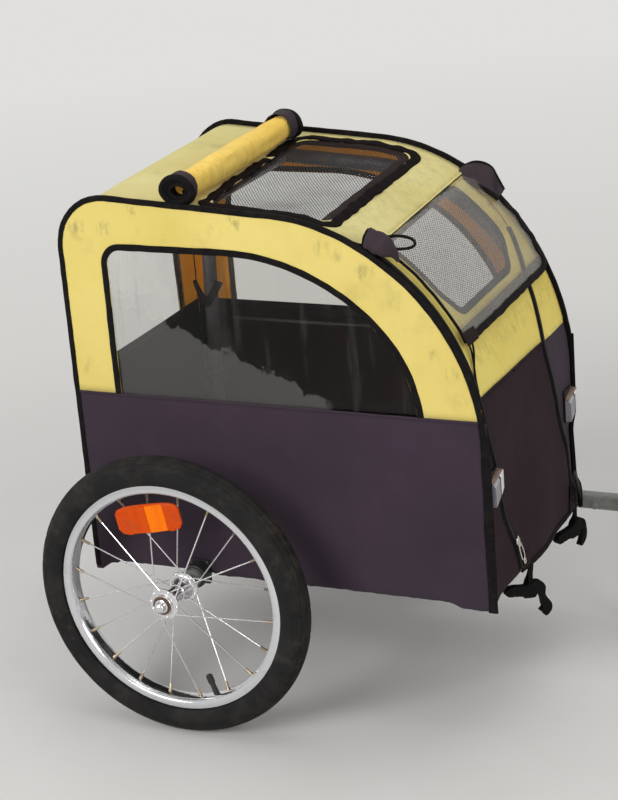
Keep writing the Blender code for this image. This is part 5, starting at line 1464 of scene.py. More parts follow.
def make_cover():
    outer = soften([(S_HEM + 0.002, COVER_RIGHT_V), (COVER_END_S, COVER_RIGHT_V), (COVER_END_S, COVER_LEFT_V),
                    (S_HEM + 0.002, COVER_LEFT_V)], 0.016, 5)
    cloth("cover_film", outer, on_cover(), [cover_vinyl], "rain_cover", ["rain_cover"], thickness=VINYL_T,
          step=0.007)
    band_s = COVER_END_S - 0.016
    band = [(band_s, COVER_RIGHT_V + 0.004), (COVER_END_S - 0.002, COVER_RIGHT_V + 0.004),
            (COVER_END_S - 0.002, COVER_LEFT_V - 0.004), (band_s, COVER_LEFT_V - 0.004)]
    cloth("cover_hem", band, on_cover(-0.0010), [smoky_vinyl], "rain_cover", thickness=VINYL_T, step=0.007)
    left = [(S_HEM + 0.022 + (COVER_END_S - S_HEM - 0.040) * k / 8, COVER_LEFT_V) for k in range(9)]
    bottom = [(COVER_END_S, COVER_LEFT_V - 0.018 - 0.280 * k / 10) for k in range(11)]
    corner = [(COVER_END_S - 0.018 * (1 - math.sin(a)), COVER_LEFT_V - 0.018 * (1 - math.cos(a)))
              for a in [math.pi / 2 * k / 6 for k in range(1, 6)]]
    edging("cover_binding", left + corner + bottom, on_cover(0.0002), 0.0095, 0.0040, "rain_cover",
           wander=0.0012, seed=93.0)
    near = [(S_HEM + 0.026 + (COVER_END_S - S_HEM - 0.026) * k / 12, COVER_RIGHT_V) for k in range(13)]
    edging("cover_near_binding", near, on_cover(0.0002), 0.0040, 0.0030, "rain_cover", wander=0.0012,
           seed=95.0)
    tab = [(COVER_END_S - 0.013, COVER_RIGHT_V - 0.004), (COVER_END_S + 0.005, COVER_RIGHT_V - 0.002),
           (COVER_END_S + 0.006, COVER_RIGHT_V + 0.034), (COVER_END_S - 0.010, COVER_RIGHT_V + 0.036)]
    cloth("cover_corner_tab", tab, on_cover(0.0030), [border_cloth], "rain_cover", thickness=0.0012,
          step=0.005)
    for shift, drop in ((0.0, 0.060), (0.010, 0.052)):
        line = []
        for k in range(9):
            ease = smooth(k / 8)
            v = COVER_RIGHT_V + 0.014 + shift - (0.020 + shift) * ease
            line.append(on_skin(0.0050 - 0.0030 * ease)(COVER_END_S + 0.002 + drop * k / 8, v))
        finished(f"cover_cord_{round(shift * 1000)}", cable(curve_through(line, 3), 0.0013, 8), [tape],
                 "rain_cover")


HOOD_OUTER = ((0.250, 0.650), (0.258, 0.659), (0.270, 0.667), (0.285, 0.6725), (0.300, 0.672), (0.311, 0.666),
              (0.317, 0.656), (0.322, 0.645), (0.327, 0.636))
HOOD_INNER = ((0.252, 0.6495), (0.262, 0.6545), (0.273, 0.6545), (0.284, 0.6520), (0.294, 0.6485),
              (0.303, 0.6445), (0.311, 0.6405), (0.319, 0.6355), (0.326, 0.6300))


def make_hood():
    """The cover's upper left corner, a gathered cloth patch that stands up like a hood."""
    outer = curve_through([point(u, 0.172, h) for u, h in HOOD_OUTER], 5)
    inner = curve_through([point(u, 0.150, h) for u, h in HOOD_INNER], 5)
    rows = 9
    grid = []
    for k, (far, near) in enumerate(zip(outer, inner)):
        share = k / (len(outer) - 1)
        line = []
        for t in [row / rows for row in range(rows + 1)]:
            puff = 0.0035 * math.sin(math.pi * t) * math.sin(math.pi * share)
            fold = 0.0022 * math.sin(17 * share + 4 * t) * math.sin(math.pi * t)
            fold += 0.0012 * ripple(share, t, 6.0, 97.0)
            line.append(near * (1 - t) + far * t + UPWARD * (puff + fold) + FORWARD * fold)
        grid.append(line)
    shape, layer = start_shape()
    verts = [[shape.verts.new(spot) for spot in line] for line in grid]
    total = 0.0
    for k in range(len(grid) - 1):
        for i in range(rows):
            cell = ((k, i), (k + 1, i), (k + 1, i + 1), (k, i + 1))
            made = add_face(shape, layer, [verts[a][b] for a, b in cell],
                            [(a * 0.003, b * 0.004) for a, b in cell])
            total += made.calc_area()
    looks = [strap_violet, black_lining]
    made = finished("cover_hood", shape, looks, "rain_cover")
    thicken(made, 0.0012, looks)
    rim = cable(curve_through([line[-1] for line in grid[::5]], 4), 0.0016, 8)
    mouth = [line[0] - UPWARD * 0.0015 for line in grid[::5]]
    lip = cable(curve_through(mouth, 4), 0.0034, 8)
    finished("cover_hood_rim", together([rim, lip]), [tape], "rain_cover")


CUFF_PATH = ((0.270, -0.166, 0.662), (0.277, -0.166, 0.660), (0.286, -0.165, 0.656), (0.294, -0.163, 0.650),
             (0.301, -0.160, 0.643), (0.306, -0.157, 0.633))
CUFF_SIZES = (0.0128, 0.0134, 0.0136, 0.0137, 0.0138, 0.0139, 0.0140, 0.0141, 0.0141, 0.0140, 0.0136,
              0.0130, 0.0121, 0.0109, 0.0094, 0.0079, 0.0064, 0.0051, 0.0041, 0.0034, 0.0029)
ELASTIC_LOOP = ((0.290, -0.154, 0.662), (0.302, -0.148, 0.662), (0.314, -0.145, 0.660),
                (0.322, -0.144, 0.656), (0.324, -0.147, 0.651), (0.318, -0.150, 0.648),
                (0.307, -0.153, 0.647), (0.297, -0.156, 0.648))
ELASTIC_END = ((0.274, -0.170, 0.655), (0.264, -0.172, 0.656), (0.252, -0.1725, 0.659),
               (0.238, -0.173, 0.662))


def make_toggle():
    """The cover's upper right corner, bunched into a cuff by its elastic, with the loop left over."""
    path = curve_through([point(*spot) for spot in CUFF_PATH], 4)
    rings = []
    for k, (spot, (side, up), size) in enumerate(zip(path, carried(path), CUFF_SIZES)):
        ring = []
        fade = smooth((20 - k) / 8)
        for angle in circle(56):
            pleat = 1 + 0.13 * abs(math.sin(3.5 * angle + 0.10 * k)) ** 0.6 * fade
            reach = size * (pleat + 0.14 * ripple(angle, k * 0.3, 1.2, 98.0)) * 0.92
            ring.append(spot + side * (reach * math.cos(angle)) + up * (reach * math.sin(angle)))
        rings.append(ring)
    mouth = [[path[at] + (spot - path[0]) * scale for spot in rings[0]]
             for at, scale in ((3, 0.30), (2, 0.62), (1, 0.82))]
    finished("cover_cuff", loft(mouth + rings), [strap_violet], "rain_cover")
    finished("cover_cuff_rim", cable(rings[0][::2], 0.0016, 8, closed=True), [tape], "rain_cover")
    for name, line, radius in (("elastic_loop", ELASTIC_LOOP, 0.0019), ("elastic_end", ELASTIC_END, 0.0015)):
        finished(name, cable(curve_through([point(*spot) for spot in line], 6), radius, 10), [tape],
                 "rain_cover")


make_cover()
make_hood()
make_toggle()


# Front reflectors, hooks and zip pulls

def make_front_reflector(side, word):
    base_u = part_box(f"front_reflector_{word}")[0][0] - AXLE_X
    v, h = side * LAMP_V, LAMP_H
    def lay(a, b, up):
        return point(base_u + up, v + a, h + b)
    wide, tall, plate_t = LAMP_W / 2 + 0.001, LAMP_TALL / 2 + 0.002, LAMP_BASE * 0.7
    base = relief(rounded((-wide, -tall), (wide, tall), 0.003), lay, lambda a, b: plate_t, 0.006)
    finished(f"reflector_base_{word}", base, [black_moulding], "chassis", bevel=0.0006)
    lens = soften([(-wide + 0.0008, -tall + 0.0008), (wide - 0.0008, -tall + 0.0098),
                   (wide - 0.0008, tall - 0.0008), (-wide + 0.0008, tall - 0.0098)], 0.004, 4)
    def face(a, b):
        """Two slanted faces meet at an upright ridge, with chamfers above and below."""
        along = b - 0.008 * a / wide
        ridge = 1 - 0.14 * abs(a - 0.001) / wide - 0.10 * math.exp(-((a - 0.001) / 0.0012) ** 2)
        ends = 0.25 + (tall - 0.004 - abs(along)) / 0.0100
        rib = 0.00022 * math.cos(2 * math.pi * a / 0.0028)
        return plate_t + (LAMP_T + 0.003 - LAMP_BASE) * max(min(ridge, ends, 1.0), 0.15) + rib
    shape = relief(lens, lay, face, 0.0009, plate_t - 0.0005)
    # The facets take lit and shaded copies of the lens: a painted highlight on the right facet, painted shade
    # along the ridge and a brown band of painted shade on the top chamfer.
    for made in shape.faces:
        spot = made.calc_center_median() - point(0, v, h)
        a, b = spot.y, spot.z
        if b - 0.008 * a / wide > tall - 0.0085 - 0.002 * a / wide:
            made.material_index = 3
        elif abs(a - 0.0010) < 0.0016:
            made.material_index = 2
        elif a > 0.0010:
            made.material_index = 1
    finished(f"reflector_lens_{word}", shape, [silver_lens, highlight_lens, shaded_ridge_lens, shaded_top_lens], "chassis",
             [f"front_reflector_{word}"])


def make_hook(v, h, top_v, twist, tilt, tip, word):
    """A moulded hook on a webbing loop that is sewn to the door's hem."""
    body = f"hook_{word}"
    u = skin.at(S_FRONT_END)[0] + HOOK_OUT
    level = Vector((math.cos(twist), math.sin(twist), 0))
    across = level.cross(UPWARD)
    along = level * math.cos(tilt) + UPWARD * math.sin(tilt)
    over = UPWARD * math.cos(tilt) - level * math.sin(tilt)
    middle = point(u, v, h)
    low = middle - over * 0.0108
    top = point(u - HOOK_OUT + front_shift(top_v, CABIN_BOTTOM_H), top_v, CABIN_BOTTOM_H + 0.002)
    hang = (top - low).normalized()
    strap = []
    for whole in circle(36):
        angle = whole - math.pi / 2
        rise = 0.5 + 0.5 * math.sin(angle)
        turn = smooth(rise * 1.2 - 0.2) * (0.25 if tip is HOOK_SPLAYED_TIP else 1.0)
        flat = (across * (1 - turn) + FORWARD * turn).normalized()
        wide = flat.cross(hang).normalized() * 0.0037
        open_w = 0.0018 + 0.0060 * (1 - smooth((rise - 0.3) / 0.4))
        centre = low.lerp(top, rise)
        out = flat * (open_w * math.cos(angle))
        inner = flat * ((open_w - 0.0013) * math.cos(angle)) - hang * (0.0013 * math.sin(angle))
        strap.append([centre + out - wide, centre + out + wide, centre + inner + wide, centre + inner - wide])
    finished(f"hook_webbing_{word}", loft(strap, closed=True), [tape], body, [body])
    moulding = [Vector(spot) for spot in HOOK_BACK + tip + HOOK_BELLY]
    outer = [(spot.x, spot.y) for spot in curve_through(moulding, 2)]
    def lay(a, b, up):
        return middle + along * a + over * b + across * up
    def crown(a, b):
        ribs = 0.0008 * smooth(3 * math.cos(a * 900)) * smooth((-0.012 - a) / 0.002)
        return HOOK_T / 2 - 0.0012 * smooth((a - 0.008) / 0.01) - ribs
    shape = relief(outer, lay, crown, 0.0016, 0.0012 - HOOK_T / 2)
    finished(f"hook_moulding_{word}", shape, [hook_plastic], body, bevel=0.0012)
    patch = [(S_FRONT_END - 0.024, v - 0.010), (S_FRONT_END - 0.002, v - 0.014),
             (S_FRONT_END - 0.002, v + 0.010), (S_FRONT_END - 0.020, v + 0.008)]
    cloth(f"hook_patch_{word}", patch, on_skin(0.0022), [border_cloth], "front_door", thickness=0.0012,
          step=0.006)


def start_pull(v, h, word):
    """The slider, and the place and directions in which its pull hangs."""
    top_h = h + PULL_LIFT
    drop_v, drop_h = v + math.tan(PULL_TILT) * PULL_LEN, top_h - (PULL_LEN + PULL_LIFT)
    base_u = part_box(f"zip_pull_{word}")[0][0] - AXLE_X + 0.001
    base_u += max(front_shift(v, h), front_shift(v + PULL_LEN / 2, h - PULL_LEN))
    down = Vector((0, drop_v - v, drop_h - top_h)).normalized()
    wide = down.cross(FORWARD).normalized()
    top = point(base_u + 0.0012, v, top_h)
    slider = []
    for reach, half, proud in ((-0.008, 0.0030, 0.0010), (-0.007, 0.0042, 0.0022), (-0.002, 0.0050, 0.0030),
                               (0.003, 0.0044, 0.0026), (0.005, 0.0026, 0.0014)):
        centre = top + down * reach - FORWARD * 0.0010
        slider.append([centre + wide * (half * math.cos(a)) + FORWARD * (proud * max(math.sin(a), -0.3))
                       for a in circle(16)])
    finished(f"zip_slider_{word}", loft(slider), [pull_metal if word == "right" else black_moulding],
             "chassis")
    return top, down, wide, math.dist((v, top_h), (drop_v, drop_h))


def make_right_pull():
    """A chromed drop with a ring at its end."""
    top, down, wide, _ = start_pull(PULL_RIGHT_V, PULL_RIGHT_H, "right")
    loop = [(0.000, 0.0018), (0.006, 0.0032), (0.016, 0.0046), (0.027, 0.0048), (0.033, 0.0036),
            (0.0362, 0.0)]
    line = [top + down * a + wide * b for a, b in loop + [(a, -b) for a, b in loop[-2::-1]]]
    bridge = rod(top + down * 0.008 - wide * 0.003, top + down * 0.008 + wide * 0.003, 0.0009, 10)
    ring = [top + down * (0.0395 + 0.0038 * math.cos(a)) + wide * (0.0030 * math.sin(a)) + FORWARD * 0.0006
            for a in circle(20)]
    shape = together([cable(curve_through(line, 4), 0.0011, 10), bridge, cable(ring, 0.0009, 8, closed=True)])
    finished("pull_drop_right", shape, [pull_metal], "zip_pull_right", ["zip_pull_right"])


def make_left_pull():
    """A black tongue."""
    top, down, wide, long = start_pull(PULL_LEFT_V, PULL_LEFT_H, "left")
    half = [(0.0, -0.0022), (0.010, -0.0040), (long - 0.004, -0.0045), (long, -0.003)]
    outer = soften(half + [(a, -b) for a, b in half[::-1]], 0.003, 4)
    def lay(a, b, up):
        return top + down * a + wide * b + FORWARD * (up - 0.0012)
    def rise(a, b):
        return 0.0026 - 0.0008 * smooth((abs(b) - 0.0022) / 0.0012) + 0.0003 * math.cos(a * 2400)
    finished("pull_tongue_left", relief(outer, lay, rise, 0.0016, 0.0006), [black_moulding], "zip_pull_left",
             ["zip_pull_left"])


def make_zip_end_tab():
    corners = ((0.228, 0.134), (0.212, 0.133), (0.197, 0.154), (0.200, 0.162), (0.226, 0.152))
    tab = soften([(skin.find(h, 1, S_HEM), v) for h, v in corners], 0.006, 4)
    cloth("zip_end_tab", tab, on_skin(0.0022), [black_lining], "front_door", thickness=0.0010, step=0.005)
    edging("zip_end_tab_rim", tab, on_skin(0.0024), 0.0022, 0.0016, "front_door", closed=True, seed=99.0,
           step=0.004)


for side, word in SIDES:
    make_front_reflector(side, word)
make_hook(HOOK_RIGHT_V, HOOK_RIGHT_H, HOOK_RIGHT_TOP_V, HOOK_RIGHT_TWIST, HOOK_RIGHT_TILT, HOOK_SPLAYED_TIP,
          "right")
make_hook(HOOK_LEFT_V, HOOK_LEFT_H, HOOK_LEFT_TOP_V, HOOK_LEFT_TWIST, HOOK_LEFT_TILT, HOOK_SLIM_TIP, "left")
make_right_pull()
make_left_pull()
make_zip_end_tab()


# Wheels

def wheel_lathe(profile, v, steps):
    """Turns a closed (across, radius) profile about the axle. It may depend on the share of a turn."""
    rings = []
    for k, angle in enumerate(circle(steps)):
        spots = profile(k / steps) if callable(profile) else profile
        rings.append([point(r * math.cos(angle), v + y, AXLE_H + r * math.sin(angle)) for y, r in spots])
    return loft(rings, closed=True)


def tread_height(turn, w):
    """Height of the rubber over its carcass, by the share of a tread cell and the way w from the crown."""
    t = abs(2 * ((turn % 1.0) - 0.5))
    side = abs(w)
    shoulder = 0.0235 + 0.0085 * t ** 2.2
    height = 0.0009 * smooth((shoulder - side) / 0.0012 + 0.5)
    for line, deep in ((0.0048 + 0.0012 * t, 0.0011), (0.0135 + 0.0016 * t, 0.0010)):
        height -= deep * math.exp(-((side - line) / 0.0009) ** 2)
    if side < 0.0135:
        chevron = math.exp(-((1 - t - 9.0 * abs(side - 0.009)) / 0.09) ** 2)
        height -= 0.0009 * chevron * smooth((side - 0.005) / 0.001)
    else:
        lip = shoulder - side
        height += 0.00035 * math.exp(-((lip - 0.0012) / 0.0007) ** 2)
        cross = 0.0006 * math.exp(-((1 - t) / 0.07) ** 2) * smooth((side - 0.014) / 0.002)
        height -= cross * smooth((shoulder - side) / 0.002 + 0.5)
    return height


def make_tyre(side, word):
    v = side * WHEEL_V
    ring_r = WHEEL_R - TYRE_SECTION_R
    lip_r = RIM_EDGE_R + 0.0006
    end = math.pi / 2 - math.asin((lip_r - ring_r) / TYRE_SECTION_R)
    ways = [-end + (end - 1.45) * k / 8 for k in range(8)] + [-1.45 + 2.9 * k / 64 for k in range(65)]
    ways += [1.45 + (end - 1.45) * k / 8 for k in range(1, 9)]
    def section(turn):
        spots = []
        for way in ways:
            tread = tread_height(turn * TREAD_CELLS, way * TYRE_SECTION_R) - 0.0009
            ridge = 0.0004 * math.exp(-((abs(way) - end + 0.16) / 0.035) ** 2)
            radius = TYRE_SECTION_R + tread + ridge
            spots.append((radius * math.sin(way), ring_r + radius * math.cos(way)))
        inner = [(0.0112, lip_r), (0.0112, 0.151), (0.0086, 0.151), (0.0086, lip_r + 0.002), (0.0160, ring_r),
                 (0.0, WHEEL_R - 0.0055), (-0.0160, ring_r), (-0.0086, lip_r + 0.002), (-0.0086, 0.151),
                 (-0.0112, 0.151), (-0.0112, lip_r)]
        return spots + inner
    finished(f"tyre_tread_{word}", wheel_lathe(section, v, TREAD_CELLS * 12), [tyre_look], f"wheel_{word}",
             [f"tyre_{word}"])


def make_rim(side, word):
    half = [(0.0135, 0.1584), (0.0137, 0.1578), (0.0136, 0.1500), (0.0133, 0.1488), (0.0124, 0.1477),
            (0.0108, 0.1468), (0.0090, 0.1457), (0.0070, 0.1449), (0.0045, 0.1445), (0.0, 0.1444)]
    inner = [(-0.0117, 0.1584), (-0.0117, 0.1506), (-0.0080, 0.1494), (-0.0065, 0.1466), (0.0065, 0.1466),
             (0.0080, 0.1494), (0.0117, 0.1506), (0.0117, 0.1584)]
    spots = half + [(-y, r) for y, r in half[-2::-1]] + inner
    rim = wheel_lathe(spots, side * WHEEL_V, 180)
    finished(f"chrome_rim_{word}", rim, [chrome], f"wheel_{word}", [f"rim_{word}"])


def make_valve(side, word):
    """The inner tube, with its rubber-covered valve and ribbed cap."""
    v = side * WHEEL_V
    ring_r = WHEEL_R - TYRE_SECTION_R
    ring = [(0.0145 * math.cos(a), ring_r + 0.0145 * math.sin(a)) for a in circle(16)]
    out = Vector((math.cos(VALVE_ANGLE), 0, math.sin(VALVE_ANGLE)))
    hub = point(0, v, AXLE_H)
    tip = RIM_EDGE_R - VALVE_LEN
    neck = ((0, 0.0034), (0.006, 0.0036), (0.020, 0.0040), (0.036, 0.0046))
    stem = turned(hub + out * (tip + 0.012), out, neck, 20)
    cap = ((0, 0.0022), (0.0007, 0.0034), (0.002, 0.0041), (0.0118, 0.0043), (0.0128, 0.0043),
           (0.0136, 0.0036))
    shapes = [wheel_lathe(ring, v, 64), stem, turned(hub + out * tip, out, cap, 20)]
    for angle in circle(10):
        spin = LEFTWARD * math.cos(angle) + out.cross(LEFTWARD) * math.sin(angle)
        start = hub + out * (tip + 0.0022) + spin * 0.0041
        shapes.append(rod(start, start + out * 0.0085, 0.0006, 6))
    finished(f"tube_and_valve_{word}", together(shapes), [tube_rubber], f"wheel_{word}",
             [f"inner_tube_{word}"])


def spoke_lines(side):
    """Start and end of each spoke, from its flange hole to the rim, and the way it leans at the flange."""
    middle = point(0, side * WHEEL_V, AXLE_H)
    step = 2 * math.pi / SPOKES_PER_FLANGE
    rim_r = RIM_EDGE_R - RIM_DEPTH - 0.0004
    for flange, hand in enumerate((1, -1)):
        for k in range(SPOKES_PER_FLANGE):
            hole = FIRST_NIPPLE + step * (k + flange / 2)
            turn, lean = (-step, 1) if k % 2 else (step, -1)
            head = middle + Vector((math.cos(hole), 0, math.sin(hole))) * SPOKE_CIRCLE_R
            head = head + LEFTWARD * (hand * FLANGE_SPAN / 2)
            end = middle + Vector((math.cos(hole + turn), 0, math.sin(hole + turn))) * rim_r
            yield head, end, lean


def make_spokes(side, word):
    wires, nipples, heads = [], [], []
    for head, end, lean in spoke_lines(side):
        start = head + LEFTWARD * (lean * SPOKE_HEAD_OUT)
        line = (end - start).normalized()
        elbow = start + line * 0.0028
        bend = curve_through([head - LEFTWARD * (lean * 0.0016), head, start + line * 0.0006, elbow], 3)
        wires.append(cable(bend + [start + line * 0.02, end - line * 0.004], 0.00095, 8))
        stations = ((0, 0.0012), (0.0006, 0.0017), (0.0085, 0.0018), (0.0092, 0.0024), (0.0125, 0.0026))
        nipples.append(turned(end - line * 0.0112, line, stations, 8))
        dome = ((0, 0.0019), (0.0005, 0.0019), (0.0010, 0.0014), (0.0012, 0.0006))
        heads.append(turned(head - LEFTWARD * (lean * 0.0014), LEFTWARD * -lean, dome, 10))
    finished(f"spoke_wires_{word}", together(wires), [spoke_look], f"wheel_{word}")
    finished(f"spoke_nipples_{word}", together(nipples), [brass], f"wheel_{word}")
    finished(f"spoke_heads_{word}", together(heads), [bright_steel], f"wheel_{word}")


def make_hub(side, word):
    v = side * WHEEL_V
    half = [(0.0, 0.0098), (0.0070, 0.0098), (0.0085, 0.0112), (0.0150, 0.0116), (0.0185, 0.0132),
            (0.0215, 0.0142), (0.0238, 0.0150), (0.0252, 0.0168), (0.0256, 0.0204), (0.0262, 0.0210),
            (0.0278, 0.0210), (0.0284, 0.0204), (0.0286, 0.0162), (0.0292, 0.0145), (0.0306, 0.0137),
            (0.0324, 0.0134), (0.0330, 0.0128), (0.0330, 0.0104)]
    stations = [(HUB_W / 2 - y, r) for y, r in half[::-1]] + [(HUB_W / 2 + y, r) for y, r in half[1:]]
    shell = turned(point(0, v - HUB_W / 2, AXLE_H), LEFTWARD, stations, 64)
    finished(f"hub_shell_{word}", shell, [hub_look], f"wheel_{word}", [f"spoked_hub_{word}"])
    profile = ((0.0104, -0.006), (0.0104, 0.0002), (0.0128, 0.0003), (0.0126, 0.0010), (0.0106, 0.0012),
               (0.0098, 0.0011), (0.0094, 0.0006), (0.0064, 0.0004), (0.0064, -0.006))
    for end_v, out, where in ((v + side * (HUB_W / 2), side, "outer"),
                              (v - side * (HUB_W / 2), -side, "inner")):
        ring = wheel_lathe([(out * y, r) for r, y in profile], end_v, 48)
        finished(f"dust_ring_{where}_{word}", ring, [rusty], f"wheel_{word}", [f"bearing_{where}_{word}"])


def make_axle(side, word):
    inner_v = min(abs(corner[1]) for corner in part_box(f"axle_{word}"))
    hub_end = WHEEL_V + HUB_W / 2
    run = hub_end - inner_v
    stations = [(0, 0.0052), (0.0008, AXLE_R), (run + 0.0009, AXLE_R), (run + 0.0010, 0.0088),
                (run + 0.0016, 0.0094), (run + 0.0028, 0.0093), (run + 0.0034, 0.0086),
                (run + 0.0036, 0.0070)]
    pin = turned(point(0, side * inner_v, AXLE_H), LEFTWARD * side, stations, 40)
    finished(f"axle_pin_{word}", pin, [bright_steel], "chassis", [f"axle_{word}"])
    outer = max(abs(corner[1]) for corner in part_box(f"axle_button_{word}"))
    sunk = 0.007
    base = outer - hub_end - 0.0055 + sunk
    dome = [(0, 0.0034), (outer - hub_end - 0.0120 + sunk, 0.0034), (base, 0.0073)]
    dome += [(base + 0.0009 + 0.0046 * math.sin(a), 0.0073 * math.cos(a)) for a in circle(32)[:8]]
    start = point(0, side * (hub_end - sunk), AXLE_H)
    finished(f"push_button_{word}", turned(start, LEFTWARD * side, dome, 40), [bright_steel],
             f"axle_button_{word}", [f"axle_button_{word}"])


REFLECTOR_HALF = ((0.050, -0.010), (0.050, 0.012), (0.046, 0.0175), (0.036, 0.0210), (0.020, 0.0222),
                  (0.0, 0.0225))


def make_wheel_reflector(side, word):
    """An orange two-faced lens with a moulded spoke clip at each end. Its right face has a paler copy of the
    orange, painted light.
    """
    middle = point(0.0055, side * (WHEEL_V + REFLECTOR_OUT), AXLE_H + 0.004)
    tangent = Vector((math.sin(REFLECTOR_ANGLE), 0, -math.cos(REFLECTOR_ANGLE)))
    out = Vector((math.cos(REFLECTOR_ANGLE), 0, math.sin(REFLECTOR_ANGLE)))
    upper = list(REFLECTOR_HALF) + [(-a, b) for a, b in REFLECTOR_HALF[-2::-1]]
    lower = [(-0.045, -0.0175), (-0.034, -0.0205), (-0.027, -0.0195), (-0.012, -0.0190), (0.012, -0.0190),
             (0.027, -0.0195), (0.034, -0.0205), (0.045, -0.0175)]
    whole = upper + lower
    def lay(a, b, up):
        return middle + tangent * (a * 0.95) + out * (REFLECTOR_RADIUS + b * 0.92) + LEFTWARD * (side * up)
    def edge_way(a, b, loop):
        return min((Vector((a, b)) - nearest(Vector((a, b)), Vector(p), Vector(q))).length
                   for p, q in zip(loop, loop[1:] + loop[:1]))
    def body(a, b):
        rim = 0.0012 * smooth(edge_way(a, b, whole) / 0.0018)
        clip = 0.0007 * smooth((abs(a) - 0.027) / 0.0006)
        post = 0.0009 * math.exp(-((math.hypot(abs(a) - 0.0385, b) - 0.0050) / 0.0009) ** 2)
        slots = 0.0005 * math.exp(-((abs(b) - 0.0125) / 0.0012) ** 2) * smooth((abs(a) - 0.031) / 0.001)
        return 0.0022 + rim + clip + post + slots
    finished(f"reflector_body_{word}", relief(whole, lay, body, 0.0018), [orange_lens], f"wheel_{word}",
             [f"wheel_reflector_{word}"])
    def face(a, b):
        ridge = 0.0026 * (1 - abs(a) / 0.0265)
        return 0.0034 + ridge + 0.00018 * math.cos(a * 2100) * math.cos(b * 2100)
    # The left face keeps the body's orange; the right face takes the paler copy, painted light on the lit
    # facet.
    for start, end, look, tone in ((-0.0265, 0.0, orange_lens, "deep"), (0.0, 0.0265, lit_amber_lens, "pale")):
        outer = rounded((start + 0.0003, -0.0188), (end - 0.0003, 0.0205), 0.0012, 3)
        finished(f"reflector_face_{tone}_{word}", relief(outer, lay, face, 0.0010, 0.002), [look],
                 f"wheel_{word}")


for side, word in SIDES:
    for make in (make_tyre, make_rim, make_valve, make_spokes, make_hub, make_axle, make_wheel_reflector):
        make(side, word)


# Frame

def make_frame():
    plug = ((0, 0.0085), (0.0010, 0.0112), (0.0030, 0.0124), (0.0040, 0.0124), (0.0041, 0.0105),
            (0.0140, 0.0103))
    for side, word in SIDES:
        ends = [point(u, side * RAIL_V, RAIL_H) for u in (RAIL_REAR_U, RAIL_FRONT_U)]
        finished(f"lower_rail_{word}", pipe(ends, RAIL_R, TUBE_WALL), [grey_paint], "chassis",
                 [f"base_rail_{word}"])
        plugs = [turned(end + FORWARD * back * 0.004, FORWARD * -back, plug, 28)
                 for end, back in zip(ends, (-1, 1))]
        finished(f"rail_plugs_{word}", together(plugs), [black_moulding], "chassis")
        # The hoops take the darker copy of the frame paint, which is painted shade.
        path = [drawn(point(u, side * HOOP_V, h))
                for u, h in outline(CABIN_SHAPE, HOOP_INSET, RAIL_TOP_H, RAIL_TOP_H, 12, 40)]
        finished(f"tube_hoop_{word}", pipe(path, HOOP_R, TUBE_WALL, 28), [shaded_hoop_paint], "chassis",
                 [f"side_hoop_{word}"])
        make_collar(side, word)
    for name, radius, bar in (("cross_tube_rear", RAIL_R, "cross_bar_rear"),
                              ("cross_tube_front", RAIL_R, "cross_bar_front"),
                              ("roof_bow", HOOP_R, "roof_bar")):
        low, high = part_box(name)
        u, h = (low[0] + high[0]) / 2 - AXLE_X, (low[2] + high[2]) / 2
        tube = pipe([point(u, low[1], h), point(u, high[1], h)], radius, TUBE_WALL)
        finished(bar, tube, [grey_paint], "chassis", [name])
    half = BEAM_W / 2
    beam = block((-half, -0.1635, AXLE_H - half), (half, 0.1635, AXLE_H + half))
    finished("square_beam", beam, [grey_paint], "chassis", ["axle_beam"], bevel=0.0022)
    stations = ((0, 0.0112), (0.0012, 0.0124), (0.0448, 0.0124), (0.0460, 0.0114), (0.0460, AXLE_R + 0.0004),
                (0.0100, AXLE_R + 0.0003))
    for side, word in SIDES:
        sleeve = turned(point(0, side * 0.161, AXLE_H), LEFTWARD * side, stations, 32)
        finished(f"axle_sleeve_{word}", sleeve, [grey_paint], "chassis")


def make_collar(side, word):
    """A black plate with a ring round each axle sleeve, held by four screws."""
    inner = CABIN_V + 0.0004
    outer = rounded((-0.015, AXLE_H - 0.017), (0.015, AXLE_H + 0.017), 0.004)
    def lay(u, h, up):
        return point(u, side * (inner + up), h)
    shapes = [relief(outer, lay, lambda u, h: 0.0028, 0.004)]
    stations = ((0, 0.0165), (0.0180, 0.0165), (0.0198, 0.0160), (0.0204, 0.0150), (0.0204, 0.0129),
                (0.0190, 0.0127))
    shapes.append(turned(point(0, side * (inner + 0.0016), AXLE_H), LEFTWARD * side, stations, 40))
    head = ((0, 0.0026), (0.0012, 0.0026), (0.0018, 0.0016), (0.0012, 0.0008))
    for u, h in ((-0.0115, -0.0130), (0.0115, -0.0130), (-0.0115, 0.0130), (0.0115, 0.0130)):
        shapes.append(turned(point(u, side * (inner + 0.0026), AXLE_H + h), LEFTWARD * side, head, 14))
    finished(f"axle_ring_{word}", together(shapes), [black_paint], "chassis", [f"axle_collar_{word}"])


make_frame()


# Tow gear

def holed(centre, reach, hole_r, low, high, edge=0.0008, steps=72):
    """A plate with a round hole. reach(angle) gives its outline from the hole's centre."""
    rings = []
    for angle in circle(steps):
        way = Vector((math.cos(angle), math.sin(angle), 0))
        r = reach(angle)
        section = ((hole_r, low), (r - edge, low), (r, low + edge), (r, high - edge), (r - edge, high),
                   (hole_r, high))
        rings.append([centre + way * out + UPWARD * (height - centre.z) for out, height in section])
    return loft(rings, closed=True)


def boxed(back, front, half_w, corner=6.0):
    """Outline of a plate with rounded corners, as a reach from the hole."""
    def reach(angle):
        c, s = math.cos(angle), math.sin(angle)
        long = front if c > 0 else back
        return ((abs(c) / long) ** corner + (abs(s) / half_w) ** corner) ** (-1 / corner)
    return reach


